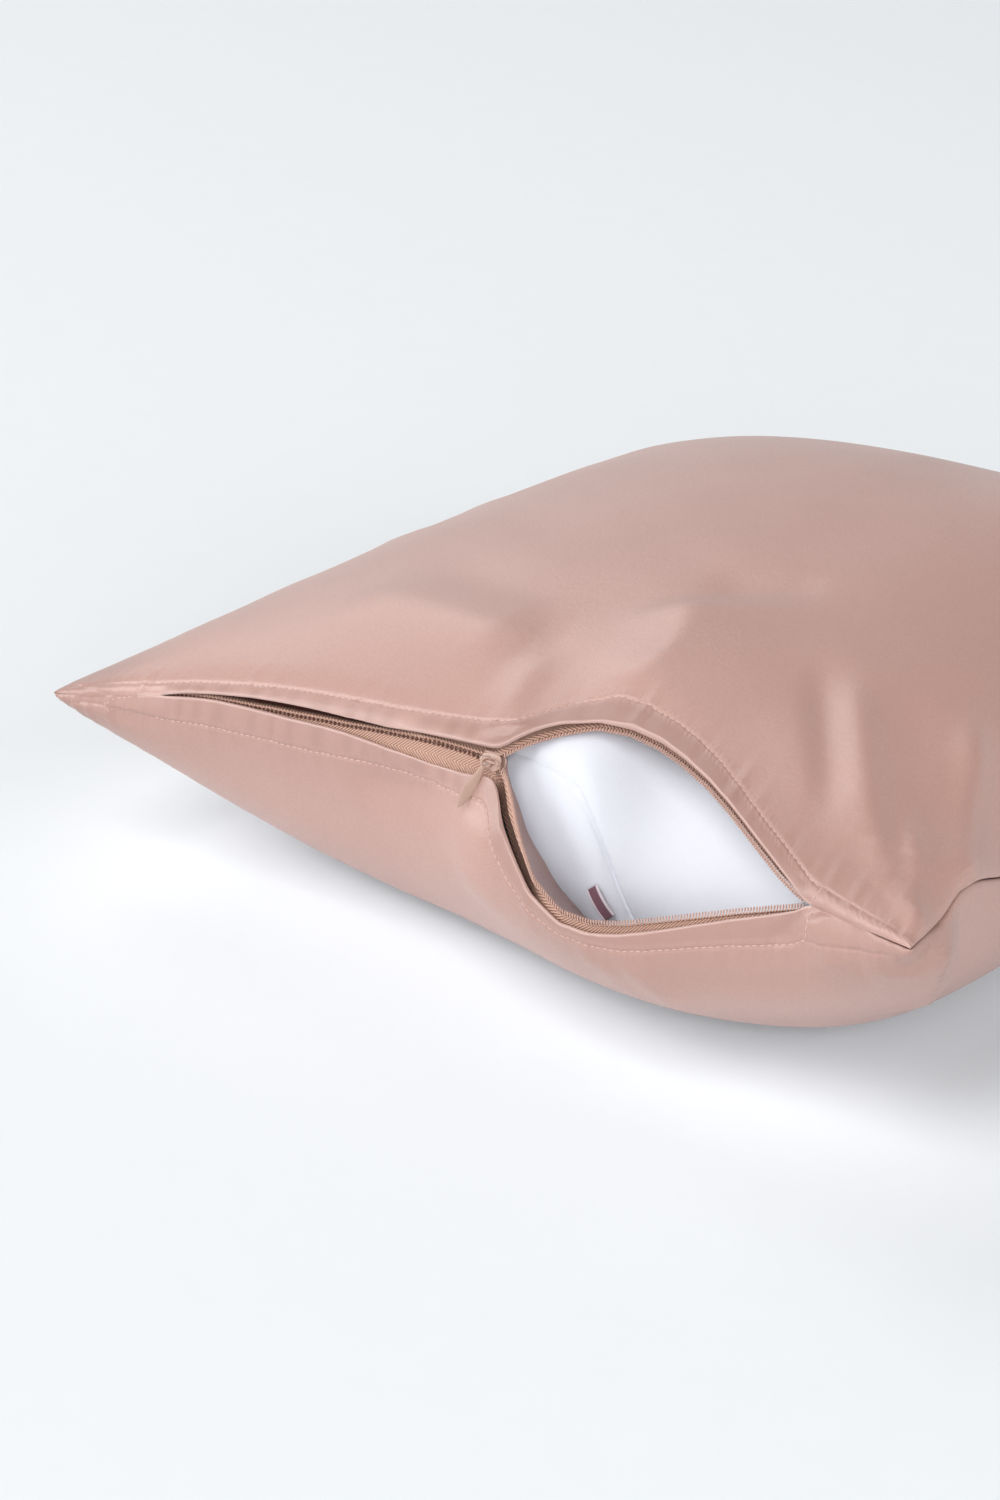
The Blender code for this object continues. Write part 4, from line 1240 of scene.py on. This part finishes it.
def make_pillow():
    """Upper and lower sides joined along a seam that sinks between them, with small gathers."""
    across = np.sin(math.pi / 2 * np.linspace(-1, 1, 230))
    along = np.sin(math.pi / 2 * np.linspace(-1, 1, 170))
    grid = np.meshgrid(across, along, indexing="ij")
    rim = np.ones(grid[0].shape, bool)
    rim[1:-1, 1:-1] = False
    facing = [grid_normals(pillow_side(*grid, upper), 1 if upper else -1) for upper in (True, False)]
    shared = unit(facing[0] + facing[1])
    sides = []
    for upper, own in zip((True, False), facing):
        points = pillow_side(*grid, upper)
        normals = np.where(rim[..., None], shared, own)
        reach_x = reach_along(points.transpose(1, 0, 2)).T
        reach_y = reach_along(points)
        edge = np.minimum(
            np.minimum(reach_x, reach_x[-1:] - reach_x), np.minimum(reach_y, reach_y[:, -1:] - reach_y)
        )
        gathers = ripples(points[..., 0] + points[..., 1], (0.013, 0.021, 0.0095), 0.7) * bell(edge, 0.014)
        uneven = soft_unevenness(points, (0.06, 0.09, 0.075), 3)
        folds = fold_relief(points, normals, PILLOW_FOLDS)
        sewn = rolled(edge, PILLOW_ROLL)
        sewn = sewn + (1 - sewn) * ease(grid[0], 0.25, 0.21) * ease(grid[0], -0.1, 0.0)
        lift = sewn * (0.0012 + 0.0007 * gathers + 0.0006 * uneven + folds)
        sides.append(points + normals * lift[..., None])
    maps = {"cloth": np.stack([HALF * grid[0], HALF * grid[1]], -1)}
    made = add_sheet("white_pillow", sides[0], sides[1], COTTON, maps)
    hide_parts("inner_pillow")


make_pillow()

LOOP_AT = (0.0655, 0.0615)  # middle of the loop: X and height
LOOP_HALF_WIDTH, LOOP_HALF_LENGTH, LOOP_LEAN = 0.00325, 0.0068, 40
TURNED_WIDTH, TURNED_THICK = 0.015, 0.0005

# Inner edge of the bottom panel's turned hem, where it lies in against the pillow, in mm
TURNED_EDGE = (
    (14, -186, 105),
    (16, -186, 99),
    (18, -184, 91),
    (22, -182, 80),
    (28, -178, 67),
    (33, -174, 57),
    (38, -170, 48),
    (43, -166, 40),
    (49, -162, 32),
    (58, -158, 26),
)


def make_turned_hem():
    """The hem's turned-in cloth, seen inside the mouth: a sheet that goes from behind the lower tape
    over to the pillow, in a straight line that sags in its middle."""
    across = np.linspace(0.075, 0.37, 70)
    start = front_frame(across, zip_length("lower", across)[:, None] - 0.0006)
    start = (start[0] - start[1] * 0.0020)[:, 0]
    end = smooth_path(TURNED_EDGE, 70, 8) / 1000
    share = np.linspace(0, 1, 16)[None, :, None]
    grid = start[:, None] * (1 - share) + end[:, None] * share
    normals = grid_normals(grid, -1)
    normals = normals * np.sign((normals * [0.5, -0.7, 0.5]).sum(-1, keepdims=True))
    sag = 0.0020 * np.sin(math.pi * share) + 0.0006 * np.sin(across * 80)[:, None, None] * share
    grid = grid - normals * sag
    length = HALF * np.broadcast_to(across[:, None], grid.shape[:2])
    away = np.broadcast_to(TURNED_WIDTH * (1 - share[..., 0]), grid.shape[:2])
    maps = {
        "cloth": np.stack([length, away], -1),
        # The hem map gives this sheet heavy painted shade and a little painted edge highlight.
        "hem": np.stack([0 * away + 0.9, 0 * away + 0.0009], -1),
        "stitch": np.stack([length, length * 0 + 1], -1),
    }
    made = add_sheet("turned_hem", grid, grid - normals * TURNED_THICK, SATEEN, maps, flip=True)
    return made


turned_hem = make_turned_hem()


def pillow_front():
    """How far forward the pillow's front comes round the loop."""
    grid = np.meshgrid(np.linspace(0.1, 0.5, 90), np.linspace(-1, -0.7, 160), indexing="ij")
    front = np.concatenate([pillow_side(*grid, upper).reshape(-1, 3) for upper in (True, False)])
    near = np.hypot(front[:, 0] - LOOP_AT[0], front[:, 2] - LOOP_AT[1]) < 0.006
    return front[near, 1].min()


def make_seam_loop():
    """A blank ribbon loop: its middle line leans to the right as it hangs and bows a little off the
    pillow, and its sides curl a little further off it."""
    middle = np.array([LOOP_AT[0], pillow_front() - 0.0015, LOOP_AT[1]])
    lean = math.radians(LOOP_LEAN)
    down = np.array([math.sin(lean), 0, -math.cos(lean)])
    beside = np.array([math.cos(lean), 0, math.sin(lean)])
    wide, run = LOOP_HALF_WIDTH * np.linspace(-1, 1, 13), np.linspace(-1, 1, 24)
    bow = 0.0009 * (1 - run**2) + 0.0002
    curl = 0.0003 * (wide / LOOP_HALF_WIDTH) ** 2
    grid = middle + wide[:, None, None] * beside + LOOP_HALF_LENGTH * run[None, :, None] * down
    grid[..., 1] -= bow[None] + curl[:, None]
    normals = grid_normals(grid, 1)
    maps = {"tape": np.stack(np.broadcast_arrays(wide[:, None], LOOP_HALF_LENGTH * run[None]), -1)}
    made = add_sheet("blank_seam_loop", grid - normals * 0.0003, grid + normals * 0.0003, LOOP, maps)
    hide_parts("pillow_seam_loop")


make_seam_loop()


# ---------------------------------------------------------------------------------------------
# Studio
# ---------------------------------------------------------------------------------------------

VIEW_AZIMUTH, VIEW_ELEVATION = 38.9, 25.7
CAMERA_AT = (0.744, -1.0953, 0.670)
CAMERA_LENS = 79.8
SURROUNDINGS = (0.90, 0.0)  # strength all round and overhead
SOFT_BOX_SIZE = 4.7
LIT_POINT = (0, 0, 0.08)
LEFT_POWER, FRONT_POWER, VIEWER_POWER, RIGHT_POWER, BACK_POWER = 311, 408, 259, 143, 162


def make_floor():
    """A wide flat floor under the case."""
    side = np.array([-6.0, 6.0])
    corners = np.stack([*np.meshgrid(side, side, indexing="ij"), np.zeros((2, 2))], -1).reshape(-1, 3)
    mesh = bpy.data.meshes.new("floor")
    mesh.from_pydata(corners.tolist(), [], [(0, 2, 3, 1)])
    mesh.materials.append(make_floor_finish("pale studio floor"))
    floor = bpy.data.objects.new("floor", mesh)
    bpy.context.scene.collection.objects.link(floor)


def add_light(name, power, place):
    """A square soft box that faces the middle of the case."""
    data = bpy.data.lights.new(name, "AREA")
    data.energy, data.size = power, SOFT_BOX_SIZE
    lamp = bpy.data.objects.new(name, data)
    lamp.location = place
    away = np.array(place) - np.array(LIT_POINT)
    level = math.hypot(away[0], away[1])
    lamp.rotation_euler = (math.atan2(level, away[2]), 0, math.atan2(away[1], away[0]) + math.pi / 2)
    bpy.context.scene.collection.objects.link(lamp)


def make_surroundings():
    """Pale surroundings, bright all round and dark overhead."""
    world = bpy.data.worlds.new("studio")
    world.use_nodes = True
    nodes = Nodes(world.node_tree)
    background = world.node_tree.nodes["Background"]
    direction = nodes.tree.nodes.new("ShaderNodeTexCoord").outputs["Generated"]
    rise = nodes.parts(direction)[2]
    background.inputs["Color"].default_value = (0.95, 0.97, 1.0, 1)
    nodes.put(background.inputs["Strength"], nodes.spread(rise, 0.30, 0.74, *SURROUNDINGS))
    bpy.context.scene.world = world


def make_studio():
    """Soft boxes: low to the left, higher in front, low beside the viewer, low to the right, and one
    behind on the left that glances off the satin."""
    make_surroundings()
    add_light("left_soft_box", LEFT_POWER, (-6.50, -5.24, 3.45))
    add_light("front_soft_box", FRONT_POWER, (-0.54, -5.13, 7.46))
    add_light("viewer_soft_box", VIEWER_POWER, (5.24, -6.50, 3.45))
    add_light("right_soft_box", RIGHT_POWER, (8.35, -0.16, 3.45))
    add_light("back_soft_box", BACK_POWER, (-6.03, 3.35, 5.86))
    bpy.context.scene.view_settings.view_transform = "Standard"


def make_camera():
    data = bpy.data.cameras.new("camera")
    data.lens = CAMERA_LENS
    data.sensor_width = 36
    camera = bpy.data.objects.new("camera", data)
    camera.location = CAMERA_AT
    camera.rotation_euler = (math.radians(90 - VIEW_ELEVATION), 0, math.radians(VIEW_AZIMUTH))
    bpy.context.scene.collection.objects.link(camera)
    bpy.context.scene.camera = camera


make_floor()
make_studio()
make_camera()
